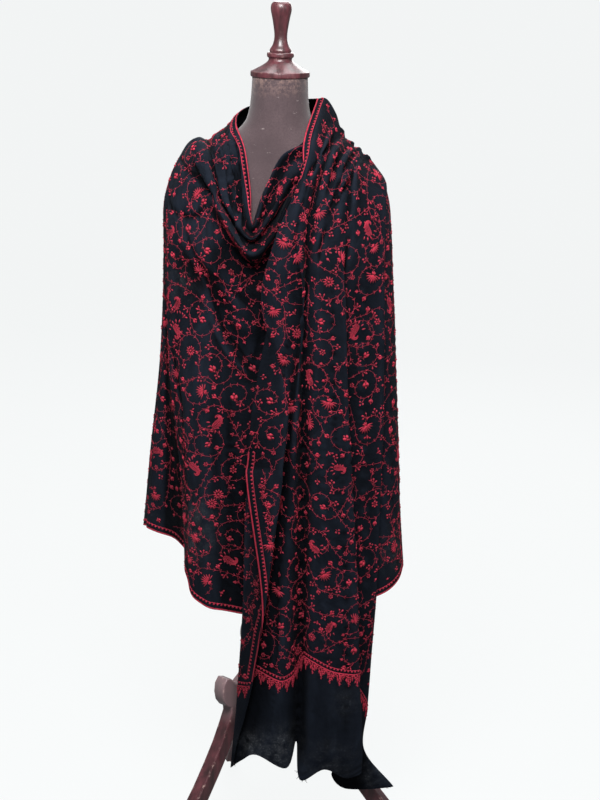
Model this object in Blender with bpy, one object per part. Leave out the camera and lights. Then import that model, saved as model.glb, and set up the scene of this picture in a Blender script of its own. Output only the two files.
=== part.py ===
"""Pashmina shawl draped on a limbless dress form with a turned wooden stand.

Metres, +Z up, the wearer's front towards -Y. Everything is laid out about the form's
upright axis, and the whole is then carried by one empty so that its box is centred on
X and Y and its feet stand at Z = 0. Tables are in millimetres.
"""

import math

import bmesh
import bpy
import numpy as np
from mathutils import Vector

MM = 0.001

# ---------------------------------------------------------------- driving sizes
WALL = 2.0 * MM            # cloth, with its fulled surface
SEAM = 0.3 * MM            # between neighbouring pieces
SEAM_SLACK = 0.16 * MM     # more at each side of a cut in the cloth, where its wall is curved
FORM_SIDES = 36
FORM_CREASE = math.radians(50)
CLOTH_CREASE = math.radians(60)
FORM_SQUARENESS = 2.25     # superellipse power of the form's plan sections

TURNED_STEPS = 22          # sides of the turned pieces

LEG_AZIMUTHS = {"leg_front_left": 227.5, "leg_right": 347.5, "leg_back": 107.5}
LEG_THICKNESS = 27 * MM
LEG_EDGE = 2.5 * MM        # rounding of the leg's edges

# Plan sections of the body form: height, half width, depth to the front, depth to the back.
FORM_SECTIONS = (
    # height, half_width, front, back
    (1537, 52, 52, 52),
    (1500, 54, 54, 54),
    (1472, 58, 58, 59),
    (1450, 67, 62, 65),
    (1431, 88, 66, 72),
    (1413, 119, 71, 80),
    (1394, 151, 78, 87),
    (1372, 176, 86, 92),
    (1345, 188, 93, 96),
    (1308, 192, 101, 97),
    (1260, 187, 109, 96),
    (1210, 176, 113, 92),
    (1155, 160, 107, 85),
    (1095, 140, 96, 77),
    (1030, 126, 88, 73),
    (960, 134, 92, 82),
    (890, 150, 98, 97),
    (820, 161, 102, 108),
    (760, 164, 101, 109),
    (716, 161, 97, 105),
    (700, 150, 88, 96),
)

# Turned profiles: height and radius, from the top down. Each starts a seam below the last.
FINIAL_PROFILE = (
    (1675, 14), (1670, 18.5), (1660, 19.5), (1640, 15.5), (1614, 12), (1598, 14.5), (1588, 20),
    (1583, 20),
)
CAP_PROFILE = (
    (1582.7, 23), (1581, 25), (1575, 25), (1572, 22), (1566, 24), (1558, 35), (1550, 50),
    (1548, 54.5), (1546, 55.5), (1540, 55.5), (1538, 54), (1537.3, 50),
)
VASE_PROFILE = (
    (512, 19), (508, 26), (502, 28), (496, 25), (490, 24), (480, 31), (462, 46), (440, 57),
    (418, 60), (400, 54), (388, 42), (380, 33), (377, 31),
)

PLATE_PROFILE = ((699.7, 83), (697.7, 85), (689.7, 85), (685.7, 81))
POLE_PROFILE = ((685.4, 30), (679.4, 30), (671.4, 16), (512.3, 16))
HUB_PROFILE = (
    (376.7, 34), (373.7, 37), (270, 37), (264, 33), (258, 22), (250, 17), (243, 8),
)

# The leg's side view: distance from the axis and height, from the hub's top round the scroll,
# down the outer edge to the foot and back up the inner edge.
LEG_OUTLINE = (
    (37.3, 370), (58, 365), (78, 352), (94, 341), (108, 346), (121, 360), (134, 364), (143, 352),
    (145, 334), (141, 316), (131, 303), (121, 299), (119, 287), (130, 262), (148, 226),
    (172, 187), (202, 143), (234, 102), (266, 64), (292, 36), (302, 20), (303, 0),
    (272, 0), (264, 16), (246, 40), (216, 76), (182, 120), (152, 164), (128, 202),
    (108, 236), (84, 262), (58, 273), (37.3, 277),
)

# ---------------------------------------------------------------- the shawl
# One sheet 2.05 m x 1.0 m. Its middle goes round the body ("body" net), and its long end
# falls down the front from the wearer's left shoulder ("front" net). Each row runs round the
# body from under the front fall, across the breast and the right arm, over the back to the
# left shoulder. Rows run from the selvage at the neck down to the selvage at the hem; between
# the neck and the breast they are by turns the ridge and the trough of a cowl fold.
BODY_COLUMNS = (
    "under_fall", "cowl_right", "cowl_turn", "cowl_low", "breast", "arm_front",
    "arm_side", "arm_back", "back", "far_back", "far_side",
)
BODY_ROWS = {
    "neck_edge": (
        (50, -64, 1428), (16, -88, 1398), (-22, -105, 1342), (-46, -117, 1272), (-50, -99, 1342),
        (-61, -76, 1408), (-80, -12, 1456), (-62, 48, 1475), (0, 72, 1487), (50, 55, 1493),
        (70, 12, 1497)),
    "first_ridge": (
        (52, -72, 1421), (6, -102, 1400), (-24, -120, 1330), (-42, -134, 1276), (-60, -112, 1332),
        (-73, -84, 1412), (-90, -8, 1449), (-72, 58, 1462), (0, 84, 1470), (62, 66, 1478),
        (88, 10, 1497)),
    "first_trough": (
        (54, -69, 1409), (18, -95, 1383), (-18, -113, 1308), (-46, -121, 1262), (-72, -103, 1316),
        (-87, -74, 1402), (-101, -6, 1435), (-84, 62, 1445), (0, 90, 1452), (74, 72, 1458),
        (106, 8, 1470)),
    "second_ridge": (
        (57, -87, 1392), (20, -122, 1358), (-12, -140, 1296), (-46, -150, 1255), (-84, -123, 1308),
        (-102, -82, 1399), (-120, -8, 1427), (-100, 68, 1425), (0, 94, 1436), (90, 78, 1438),
        (116, 4, 1441)),
    "second_trough": (
        (59, -87, 1374), (24, -112, 1338), (-10, -124, 1280), (-48, -129, 1246), (-97, -105, 1311),
        (-115, -78, 1380), (-133, -4, 1414), (-118, 72, 1408), (0, 97, 1418), (106, 82, 1418),
        (136, 0, 1417)),
    "third_ridge": (
        (62, -93, 1346), (24, -136, 1322), (-4, -158, 1266), (-48, -171, 1232), (-107, -130, 1310),
        (-131, -86, 1384), (-152, -6, 1419), (-140, 76, 1388), (0, 100, 1396), (124, 84, 1394),
        (154, -2, 1403)),
    "hollow": (
        (66, -101, 1290), (28, -116, 1262), (-8, -122, 1222), (-46, -124, 1198), (-114, -112, 1290),
        (-148, -72, 1360), (-180, -4, 1396), (-160, 82, 1350), (0, 106, 1350), (150, 86, 1350),
        (184, -2, 1374)),
    "breast_ridge": (
        (80, -118, 1200), (34, -124, 1150), (-8, -130, 1118), (-46, -134, 1108), (-108, -138, 1196),
        (-184, -84, 1268), (-214, -2, 1315), (-184, 80, 1272), (0, 114, 1240), (173, 84, 1268),
        (212, -2, 1305)),
    "breast_trough": (
        (80, -120, 1080), (36, -121, 1036), (-6, -122, 1014), (-46, -120, 1010), (-124, -108, 1136),
        (-196, -66, 1182), (-216, 0, 1200), (-186, 82, 1160), (0, 119, 1115), (178, 86, 1140),
        (221, -2, 1180)),
    "waist": (
        (80, -120, 950), (36, -123, 942), (-2, -126, 936), (-42, -129, 930), (-156, -118, 930),
        (-194, -62, 985), (-220, 0, 1010), (-186, 84, 985), (0, 124, 960), (182, 88, 985),
        (232, -2, 1010)),
    "thigh": (
        (80, -120, 720), (36, -122, 716), (-6, -124, 709), (-50, -127, 704), (-152, -117, 705),
        (-174, -62, 775), (-240, 0, 800), (-196, 88, 770), (0, 132, 730), (196, 92, 760),
        (250, 0, 770)),
    "hem": (
        (80, -118, 522), (36, -121, 518), (-14, -123, 514), (-62, -126, 513), (-149, -110, 538),
        (-168, -52, 614), (-254, 0, 643), (-205, 90, 600), (0, 140, 535), (205, 94, 555),
        (266, 0, 574)),
}
# Samples between one column or row and the next.
BODY_COLUMN_STEPS = (2, 3, 4, 5, 5, 6, 7, 10, 10, 7)
BODY_ROW_STEPS = (2, 2, 2, 2, 2, 2, 3, 3, 3, 3, 3)
BODY_STRETCHES = {"shawl_chest": (0, 5), "shawl_right_arm": (5, 7), "shawl_back": (7, 10)}
# Folds that hang from the shoulders: column at the top and at the hem, row it starts from,
# half width in columns, and depth towards the form at the hem in millimetres (minus for a
# fold that stands out).
HANGING_FOLDS = (
    # column_top, column_hem, first_row, half_width, depth
    (4.10, 3.55, 7.5, 0.16, -7),
    (5.30, 4.60, 6.0, 0.18, -9),
    (5.60, 5.35, 6.0, 0.16, 8),
    (6.05, 6.10, 6.5, 0.14, 9),
    (6.35, 6.40, 6.0, 0.13, -9),
    (6.66, 6.72, 6.0, 0.14, 12),
    (7.02, 7.02, 5.5, 0.09, -16),
    (7.25, 7.22, 5.5, 0.10, 22),
    (7.47, 7.44, 5.0, 0.08, -16),
    (7.70, 7.68, 5.0, 0.11, 19),
    (7.92, 7.93, 4.5, 0.08, -18),
    (8.14, 8.18, 4.5, 0.10, 23),
    (8.36, 8.42, 5.0, 0.08, -16),
    (8.58, 8.64, 5.0, 0.10, 20),
    (8.80, 8.88, 5.5, 0.08, -16),
    (9.05, 9.12, 5.5, 0.13, 17),
    (9.38, 9.42, 6.0, 0.13, -10),
    (9.64, 9.68, 6.0, 0.10, 8),
)

# The left arm's front, from the body's last column round to its hidden edge. The first row
# only leads the next one, where this stretch begins.
ARM_COLUMNS = ("far_side", "front", "turn", "hidden")
ARM_ROWS = {
    "third_ridge": ((154, -2, 1403), (156, -22, 1394), (148, -42, 1384), (134, -56, 1364)),
    "hollow": ((184, -2, 1374), (186, -24, 1356), (178, -44, 1336), (160, -62, 1314)),
    "breast_ridge": ((212, -2, 1305), (210, -40, 1284), (197, -68, 1256), (170, -84, 1240)),
    "breast_trough": ((221, -2, 1180), (221, -46, 1164), (206, -78, 1142), (172, -96, 1130)),
    "waist": ((232, -2, 1010), (231, -48, 1000), (213, -82, 985), (172, -100, 975)),
    "thigh": ((250, 0, 770), (247, -48, 757), (222, -82, 740), (174, -100, 732)),
    "hem": ((266, 0, 574), (254, -42, 557), (227, -74, 542), (176, -94, 527)),
}
ARM_COLUMN_STEPS = (4, 3, 3)
ARM_ROW_STEPS = (1, 3, 3, 3, 3, 3)
ARM_FIRST_ROW = 6          # of the body net, where the arm's front begins

# The front fall: a row for each level, a column for each fold line from the free selvage to
# the tucked-in far side. Where a column steps back past its neighbour the cloth is folded
# under or over. The selvage strip is flat at the shoulder, turned under from the collarbone
# to the waist, flat again at the hip, and from there folded over twice, at first_turn and
# second_turn; below the knee only the second of these turns is left.
FALL_COLUMNS = (
    "selvage", "first_turn", "second_turn", "flap", "trough_one", "ridge", "trough_two",
    "panel_near", "panel", "panel_far", "fold_edge", "tuck", "under_layer", "far_edge",
    "far_tuck",
)
# Where each fold line leaves the body net's last column, in rows.
CREST_SHARE = (0.0, 0.25, 0.5, 0.8, 1.6, 2.3, 2.9, 3.4, 3.9, 4.3, 4.7, 5.0, 5.35, 5.85, 5.95)
FALL_ROWS = {
    "shoulder": (
        (46, -89, 1424), (52, -91, 1425), (58, -93, 1427), (66, -95, 1427), (78, -83, 1416),
        (85, -86, 1415), (92, -72, 1405), (102, -82, 1407), (113, -72, 1396), (124, -78, 1393),
        (134, -66, 1380), (144, -72, 1376), (156, -62, 1365), (200, -32, 1351), (195, -31, 1348)),
    "collarbone": (
        (50, -130, 1348), (43, -129, 1350), (37, -134, 1352), (46, -142, 1351), (56, -138, 1348),
        (62, -131, 1345), (73, -116, 1338), (87, -126, 1334), (103, -116, 1327), (119, -120, 1323),
        (132, -106, 1316), (143, -109, 1314), (157, -97, 1309), (201, -60, 1314), (195, -58, 1311)),
    "breast": (
        (22, -156, 1256), (9, -155, 1256), (-1, -161, 1256), (16, -172, 1254), (36, -164, 1252),
        (48, -156, 1250), (60, -137, 1247), (76, -150, 1246), (96, -149, 1244), (112, -146, 1241),
        (124, -141, 1239), (131, -132, 1237), (148, -125, 1236), (200, -84, 1240),
        (193, -81, 1238)),
    "ribs": (
        (8, -146, 1130), (-9, -143, 1130), (-23, -149, 1130), (6, -168, 1130), (49, -147, 1130),
        (53, -149, 1130), (56, -136, 1130), (78, -155, 1130), (100, -158, 1130), (119, -156, 1130),
        (132, -148, 1130), (118, -138, 1130), (146, -127, 1130), (203, -95, 1130),
        (194, -91, 1130)),
    "waist": (
        (-10, -148, 950), (-26, -145, 950), (-37, -151, 950), (-4, -170, 950), (36, -148, 950),
        (46, -155, 950), (57, -136, 950), (80, -156, 950), (108, -163, 950), (129, -160, 950),
        (142, -150, 950), (121, -139, 950), (150, -127, 950), (207, -102, 950), (197, -97, 950)),
    "hip": (
        (-46, -162, 868), (-38, -165, 868), (-26, -168, 868), (-6, -168, 868), (27, -149, 868),
        (43, -157, 868), (59, -136, 868), (82, -156, 868), (111, -164, 868), (135, -160, 868),
        (149, -150, 868), (127, -139, 868), (155, -127, 868), (209, -102, 868), (198, -97, 868)),
    "thigh": (
        (-45, -173, 750), (14, -171, 750), (-42, -150, 750), (-10, -148, 750), (20, -148, 750),
        (40, -159, 750), (61, -136, 750), (84, -156, 750), (115, -165, 750), (143, -161, 750),
        (157, -150, 750), (134, -139, 750), (161, -127, 750), (209, -102, 750), (199, -97, 750)),
    "knee": (
        (-14, -169, 550), (-8, -166, 550), (-50, -143, 550), (-22, -145, 550), (4, -150, 550),
        (32, -164, 550), (61, -135, 550), (86, -157, 550), (122, -166, 550), (157, -160, 550),
        (172, -148, 550), (149, -137, 550), (173, -125, 550), (209, -100, 550), (199, -94, 550)),
    "calf": (
        (-26, -161, 400), (-36, -156, 400), (-57, -138, 400), (-30, -143, 400), (2, -156, 400),
        (30, -165, 400), (62, -131, 400), (88, -155, 400), (126, -164, 400), (165, -157, 400),
        (180, -144, 400), (158, -133, 400), (176, -121, 400), (203, -92, 400), (194, -86, 400)),
    "shin": (
        (-44, -149, 300), (-50, -145, 300), (-61, -132, 300), (-36, -138, 300), (-5, -154, 300),
        (28, -162, 300), (62, -128, 300), (88, -151, 300), (128, -160, 300), (170, -151, 300),
        (187, -137, 300), (164, -127, 300), (178, -116, 300), (199, -88, 300), (190, -84, 300)),
    "ankle": (
        (-57, -139, 246), (-60, -136, 244), (-65, -127, 242), (-42, -135, 246), (-13, -151, 252),
        (26, -159, 250), (61, -125, 262), (86, -149, 225), (128, -156, 232), (170, -148, 225),
        (190, -136, 228), (150, -123, 226), (169, -104, 210), (196, -83, 203), (188, -79, 205)),
    "hem": (
        (-66, -129, 190), (-68, -127, 185), (-70, -120, 179), (-50, -130, 199), (-20, -149, 222),
        (40, -148, 194), (59, -122, 240), (68, -144, 167), (116, -152, 195), (160, -142, 172),
        (190, -131, 181), (132, -117, 172), (160, -94, 124), (254, -80, 122), (247, -73, 126)),
}
FALL_COLUMN_STEPS = (3, 3, 3, 2, 2, 3, 3, 3, 2, 3, 3, 3, 4, 2)
FALL_ROW_STEPS = (3, 2, 3, 2, 2, 2, 2, 3, 2, 1, 1, 2)
FALL_STRETCHES = {
    "shawl_front_flap": (0, 6),
    "shawl_front_panel": (6, 11),
    "shawl_front_inner": (11, 14),
}
CREST_GAP = 0.015          # share of the first row's span left open over the shoulder

# ---------------------------------------------------------------- materials
# name: base colour, roughness, metallic
FINISHES = {
    "wool": ((0.012, 0.016, 0.022), 0.85, 0.0),
    "jersey": ((0.145, 0.095, 0.102), 0.8, 0.0),
    "rosewood": ((0.065, 0.012, 0.018), 0.35, 0.0),
}


def finish(name):
    """The Principled material of this name, made once."""
    found = bpy.data.materials.get(name)
    if found:
        return found
    colour, roughness, metallic = FINISHES[name]
    made = bpy.data.materials.new(name)
    made.use_nodes = True
    shader = made.node_tree.nodes["Principled BSDF"]
    shader.inputs["Base Color"].default_value = (*colour, 1.0)
    shader.inputs["Roughness"].default_value = roughness
    shader.inputs["Metallic"].default_value = metallic
    return made


def clear_scene():
    for item in list(bpy.data.objects):
        bpy.data.objects.remove(item, do_unlink=True)


def place(name, mesh, material, parent):
    """An object for this mesh, smooth where it is round, carried by the parent."""
    made = bpy.data.objects.new(name, mesh)
    mesh.materials.append(finish(material))
    mesh.shade_smooth()
    bpy.context.scene.collection.objects.link(made)
    made.parent = parent
    return made


# ---------------------------------------------------------------- splines and nets
def spline_weights(count, at):
    """Rows of weights that read a Catmull-Rom curve through count points at each place in at."""
    at = np.asarray(at, float)
    found = np.zeros((len(at), count))
    for row, place_on in enumerate(at):
        first = int(min(max(math.floor(place_on), 0), count - 2))
        t = place_on - first
        shares = (
            -0.5 * t + t**2 - 0.5 * t**3,
            1 - 2.5 * t**2 + 1.5 * t**3,
            0.5 * t + 2 * t**2 - 1.5 * t**3,
            -0.5 * t**2 + 0.5 * t**3,
        )
        for offset, share in zip((-1, 0, 1, 2), shares):
            index = first + offset
            if index < 0:
                found[row, 0] += 2 * share
                found[row, 1] -= share
            elif index >= count:
                found[row, count - 1] += 2 * share
                found[row, count - 2] -= share
            else:
                found[row, index] += share
    return found


def stations(steps, first=0, last=None):
    """Places along a net's side, with steps[i] intervals between station i and i + 1."""
    last = len(steps) if last is None else last
    found = [float(first)]
    for span in range(first, last):
        found += [span + (step + 1) / steps[span] for step in range(steps[span])]
    return np.array(found)


def net_of(rows):
    """The table's points in metres, as an array of rows x columns x 3."""
    return np.array(list(rows.values()), float) * MM


def surface(net, row_at, column_at):
    """Points on the smooth surface through the net."""
    across = spline_weights(net.shape[0], row_at)
    along = spline_weights(net.shape[1], column_at)
    return np.einsum("ai,bj,ijk->abk", across, along, net)


def grid_normals(points):
    """Unit normals at the points of a grid."""
    down = np.gradient(points, axis=0)
    along = np.gradient(points, axis=1)
    normal = np.cross(down, along)
    return normal / np.linalg.norm(normal, axis=2, keepdims=True)


def hanging_lift(row_at, column_at, last_row):
    """How far each point of the body net moves in for the hanging folds, in metres."""
    lift = np.zeros((len(row_at), len(column_at)))
    for column_top, column_hem, first_row, half_width, depth in HANGING_FOLDS:
        grown = np.clip((row_at - first_row) / (last_row - first_row), 0, 1)
        centre = column_top + (column_hem - column_top) * grown
        away = (column_at[None, :] - centre[:, None]) / half_width
        lift += depth * MM * (grown**0.7)[:, None] * np.exp(-(away**2))
    return lift


def wall_mesh(name, points, normals):
    """A closed wall of even thickness about a grid of points."""
    rows, columns, _ = points.shape
    outer = (points + normals * WALL / 2).reshape(-1, 3)
    inner = (points - normals * WALL / 2).reshape(-1, 3)
    count = rows * columns
    faces = []
    for r in range(rows - 1):
        for c in range(columns - 1):
            a = r * columns + c
            quad = (a, a + columns, a + columns + 1, a + 1)
            faces.append(quad)
            faces.append(tuple(count + v for v in reversed(quad)))
    rim = list(range(columns))
    rim += [r * columns + columns - 1 for r in range(1, rows)]
    rim += [(rows - 1) * columns + c for c in range(columns - 2, -1, -1)]
    rim += [r * columns for r in range(rows - 2, 0, -1)]
    for a, b in zip(rim, rim[1:] + rim[:1]):
        faces.append((a, b, count + b, count + a))
    mesh = bpy.data.meshes.new(name)
    mesh.from_pydata(np.concatenate([outer, inner]).tolist(), [], faces)
    return mesh


def cloth(name, points, normals, parent, apart=(False, False)):
    """A stretch of the shawl, drawn in by half a seam at the sides that meet a neighbour."""
    points = points.copy()
    for side, edge, inside in ((0, 0, 1), (1, -1, -2)):
        if apart[side]:
            inwards = points[:, inside] - points[:, edge]
            across = np.cross(normals[:, edge], np.gradient(points[:, edge], axis=0))
            across /= np.linalg.norm(across, axis=1, keepdims=True)
            across *= np.sign(np.sum(across * inwards, axis=1, keepdims=True))
            points[:, edge] += across * (SEAM / 2 + SEAM_SLACK)
    made = place(name, wall_mesh(name, points, normals), "wool", parent)
    made.data.set_sharp_from_angle(angle=CLOTH_CREASE)


def stretches(points, normals, steps, shares, parent, last_apart=False):
    """Cuts a sheet's grid at its named columns into one object for each stretch."""
    starts = np.concatenate([[0], np.cumsum(steps)])
    for name, (first, last) in shares.items():
        cut = slice(starts[first], starts[last] + 1)
        apart = (first > 0, last < len(steps) or last_apart)
        cloth(name, points[:, cut], normals[:, cut], parent, apart)


# ---------------------------------------------------------------- the shawl's stretches
def body_points(row_at, column_at):
    points = surface(net_of(BODY_ROWS), row_at, column_at)
    if len(column_at) == 1:
        return points
    lift = hanging_lift(row_at, column_at, len(BODY_ROWS) - 1)
    return points + grid_normals(points) * lift[:, :, None]


def make_body(parent):
    """The stretches round the body, and the left arm's front, which share their last column."""
    body = body_points(stations(BODY_ROW_STEPS), stations(BODY_COLUMN_STEPS))
    arm = surface(net_of(ARM_ROWS), stations(ARM_ROW_STEPS, 1), stations(ARM_COLUMN_STEPS))
    top = sum(BODY_ROW_STEPS[:ARM_FIRST_ROW])
    last = body.shape[1] - 1
    normals = grid_normals(body)
    joined = grid_normals(np.concatenate([body[top:], arm[:, 1:]], axis=1))
    normals[top:] = joined[:, : last + 1]
    arm[:, 0] = body[top:, last]
    stretches(body, normals, BODY_COLUMN_STEPS, BODY_STRETCHES, parent, last_apart=True)
    cloth("shawl_left_arm", arm, joined[:, last:], parent, (True, False))


def fall_net():
    """The front fall's net, led by the row where it leaves the body over the shoulder."""
    last_column = len(BODY_COLUMNS) - 1.0
    crest = body_points(np.array(CREST_SHARE), np.array([last_column]))[:, 0, :]
    return np.concatenate([crest[None], net_of(FALL_ROWS)])


def make_fall(parent):
    row_at = stations(FALL_ROW_STEPS)
    row_at[0] += CREST_GAP
    points = surface(fall_net(), row_at, stations(FALL_COLUMN_STEPS))
    stretches(points, grid_normals(points), FALL_COLUMN_STEPS, FALL_STRETCHES, parent)


# ---------------------------------------------------------------- the form and its stand
def form_ring(height, half_width, front, back):
    """A plan section of the form: a superellipse, deeper to one side than to the other."""
    ring = []
    for step in range(FORM_SIDES):
        angle = 2 * math.pi * step / FORM_SIDES
        cosine = math.cos(angle)
        sine = math.sin(angle)
        power = 2 / FORM_SQUARENESS
        depth = back if sine > 0 else front
        x = half_width * math.copysign(abs(cosine) ** power, cosine)
        y = depth * math.copysign(abs(sine) ** power, sine)
        ring.append((x * MM, y * MM, height * MM))
    return ring


def make_form(parent):
    mesh = bpy.data.meshes.new("dress_form")
    shape = bmesh.new()
    rings = [[shape.verts.new(p) for p in form_ring(*section)] for section in FORM_SECTIONS]
    for upper, lower in zip(rings, rings[1:]):
        for step in range(FORM_SIDES):
            after = (step + 1) % FORM_SIDES
            shape.faces.new((upper[step], lower[step], lower[after], upper[after]))
    shape.faces.new(rings[0])
    shape.faces.new(reversed(rings[-1]))
    shape.to_mesh(mesh)
    shape.free()
    place("dress_form", mesh, "jersey", parent)
    mesh.set_sharp_from_angle(angle=FORM_CREASE)


def rounded(profile, steps):
    """The profile's points with smooth curves between them."""
    points = np.array(profile, float)
    at = stations((steps,) * (len(profile) - 1))
    return spline_weights(len(profile), at) @ points


def make_turned(name, profile, material, parent, steps=2):
    """A piece turned about the axis, from its heights and radii in millimetres."""
    points = rounded(profile, steps) if steps > 1 else np.array(profile, float)
    outline = [(0.0, 0.0, points[0][0] * MM)]
    outline += [(radius * MM, 0.0, height * MM) for height, radius in points]
    outline += [(0.0, 0.0, points[-1][0] * MM)]
    mesh = bpy.data.meshes.new(name)
    mesh.from_pydata(outline, [(i, i + 1) for i in range(len(outline) - 1)], [])
    made = place(name, mesh, material, parent)
    turn = made.modifiers.new("turn", "SCREW")
    turn.steps = TURNED_STEPS
    turn.render_steps = TURNED_STEPS
    turn.use_merge_vertices = True
    turn.merge_threshold = 0.00005
    turn.use_smooth_shade = True


def leg_mesh():
    """The leg's side view, with its flat foot kept sharp, as a board on edge."""
    points = [Vector((r * MM, 0.0, z * MM)) for r, z in LEG_OUTLINE]
    mesh = bpy.data.meshes.new("leg")
    shape = bmesh.new()
    half = LEG_THICKNESS / 2
    near = [shape.verts.new(p + Vector((0, -half, 0))) for p in points]
    far = [shape.verts.new(p + Vector((0, half, 0))) for p in points]
    shape.faces.new(near)
    shape.faces.new(reversed(far))
    count = len(points)
    for i in range(count):
        j = (i + 1) % count
        shape.faces.new((near[j], near[i], far[i], far[j]))
    bmesh.ops.recalc_face_normals(shape, faces=shape.faces)
    shape.to_mesh(mesh)
    shape.free()
    return mesh


def make_legs(parent):
    for name, azimuth in LEG_AZIMUTHS.items():
        made = place(name, leg_mesh(), "rosewood", parent)
        made.rotation_euler.z = math.radians(azimuth)
        rounding = made.modifiers.new("rounding", "BEVEL")
        rounding.width = LEG_EDGE
        rounding.segments = 1
        rounding.limit_method = "ANGLE"
        rounding.angle_limit = math.radians(60)


def make_stand(parent):
    make_turned("finial", FINIAL_PROFILE, "rosewood", parent)
    make_turned("neck_cap", CAP_PROFILE, "rosewood", parent)
    make_turned("stand_plate", PLATE_PROFILE, "rosewood", parent, steps=1)
    make_turned("stand_pole", POLE_PROFILE, "rosewood", parent, steps=1)
    make_turned("stand_vase", VASE_PROFILE, "rosewood", parent)
    make_turned("stand_hub", HUB_PROFILE, "rosewood", parent, steps=1)
    make_legs(parent)


def stand_on_floor(root):
    """Moves the root so that the part's box is centred on X and Y and stands at Z = 0."""
    bpy.context.view_layer.update()
    graph = bpy.context.evaluated_depsgraph_get()
    corners = []
    for item in bpy.data.objects:
        if item.type != "MESH":
            continue
        shown = item.evaluated_get(graph)
        mesh = shown.to_mesh()
        corners += [shown.matrix_world @ v.co for v in mesh.vertices]
        shown.to_mesh_clear()
    low = np.min(np.array(corners), axis=0)
    high = np.max(np.array(corners), axis=0)
    root.location = (-(low[0] + high[0]) / 2, -(low[1] + high[1]) / 2, -low[2])


def main():
    clear_scene()
    root = bpy.data.objects.new("part_origin", None)
    bpy.context.scene.collection.objects.link(root)
    make_form(root)
    make_stand(root)
    make_body(root)
    make_fall(root)
    stand_on_floor(root)


main()
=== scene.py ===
"""Dresses a draped pashmina shawl and its form: cloth, crewel embroidery, jersey, wood and studio.

Metres, +Z up, the wearer's front towards -Y. Tables are in millimetres about the form's
upright axis, and rows and columns of the cloth are named as its solids name them.
"""

import math
from types import SimpleNamespace

import bmesh
import bpy
import numpy as np
from mathutils import Euler, Matrix, Vector, kdtree, noise


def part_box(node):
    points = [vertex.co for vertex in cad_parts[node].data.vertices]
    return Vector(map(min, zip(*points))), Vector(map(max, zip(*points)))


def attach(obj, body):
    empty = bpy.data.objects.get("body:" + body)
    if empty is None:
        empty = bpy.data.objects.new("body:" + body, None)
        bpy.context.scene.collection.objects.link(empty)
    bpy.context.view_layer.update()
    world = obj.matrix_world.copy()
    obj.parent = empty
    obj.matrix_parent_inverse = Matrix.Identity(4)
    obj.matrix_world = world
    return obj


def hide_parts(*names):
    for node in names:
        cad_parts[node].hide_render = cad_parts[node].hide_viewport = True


bl_info = {
    "name": "Draped shawl",
    "version": (1, 0, 0),
    "blender": (4, 5, 0),
    "location": "View3D > Sidebar > Shawl",
    "description": "Cloth, embroidery, jersey and wood for a shawl on its dress form",
    "category": "Object",
}

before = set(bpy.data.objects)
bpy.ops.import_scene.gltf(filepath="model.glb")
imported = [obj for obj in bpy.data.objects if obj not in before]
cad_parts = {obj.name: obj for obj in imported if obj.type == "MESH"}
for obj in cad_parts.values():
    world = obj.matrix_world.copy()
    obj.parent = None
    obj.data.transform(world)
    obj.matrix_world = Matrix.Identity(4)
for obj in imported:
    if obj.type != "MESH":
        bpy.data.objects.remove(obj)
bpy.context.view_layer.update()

MM = 0.001
TAU = 2 * math.pi
FINIAL_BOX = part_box("finial")
AXIS = (FINIAL_BOX[0] + FINIAL_BOX[1]) / 2
AXIS.z = 0.0

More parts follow.
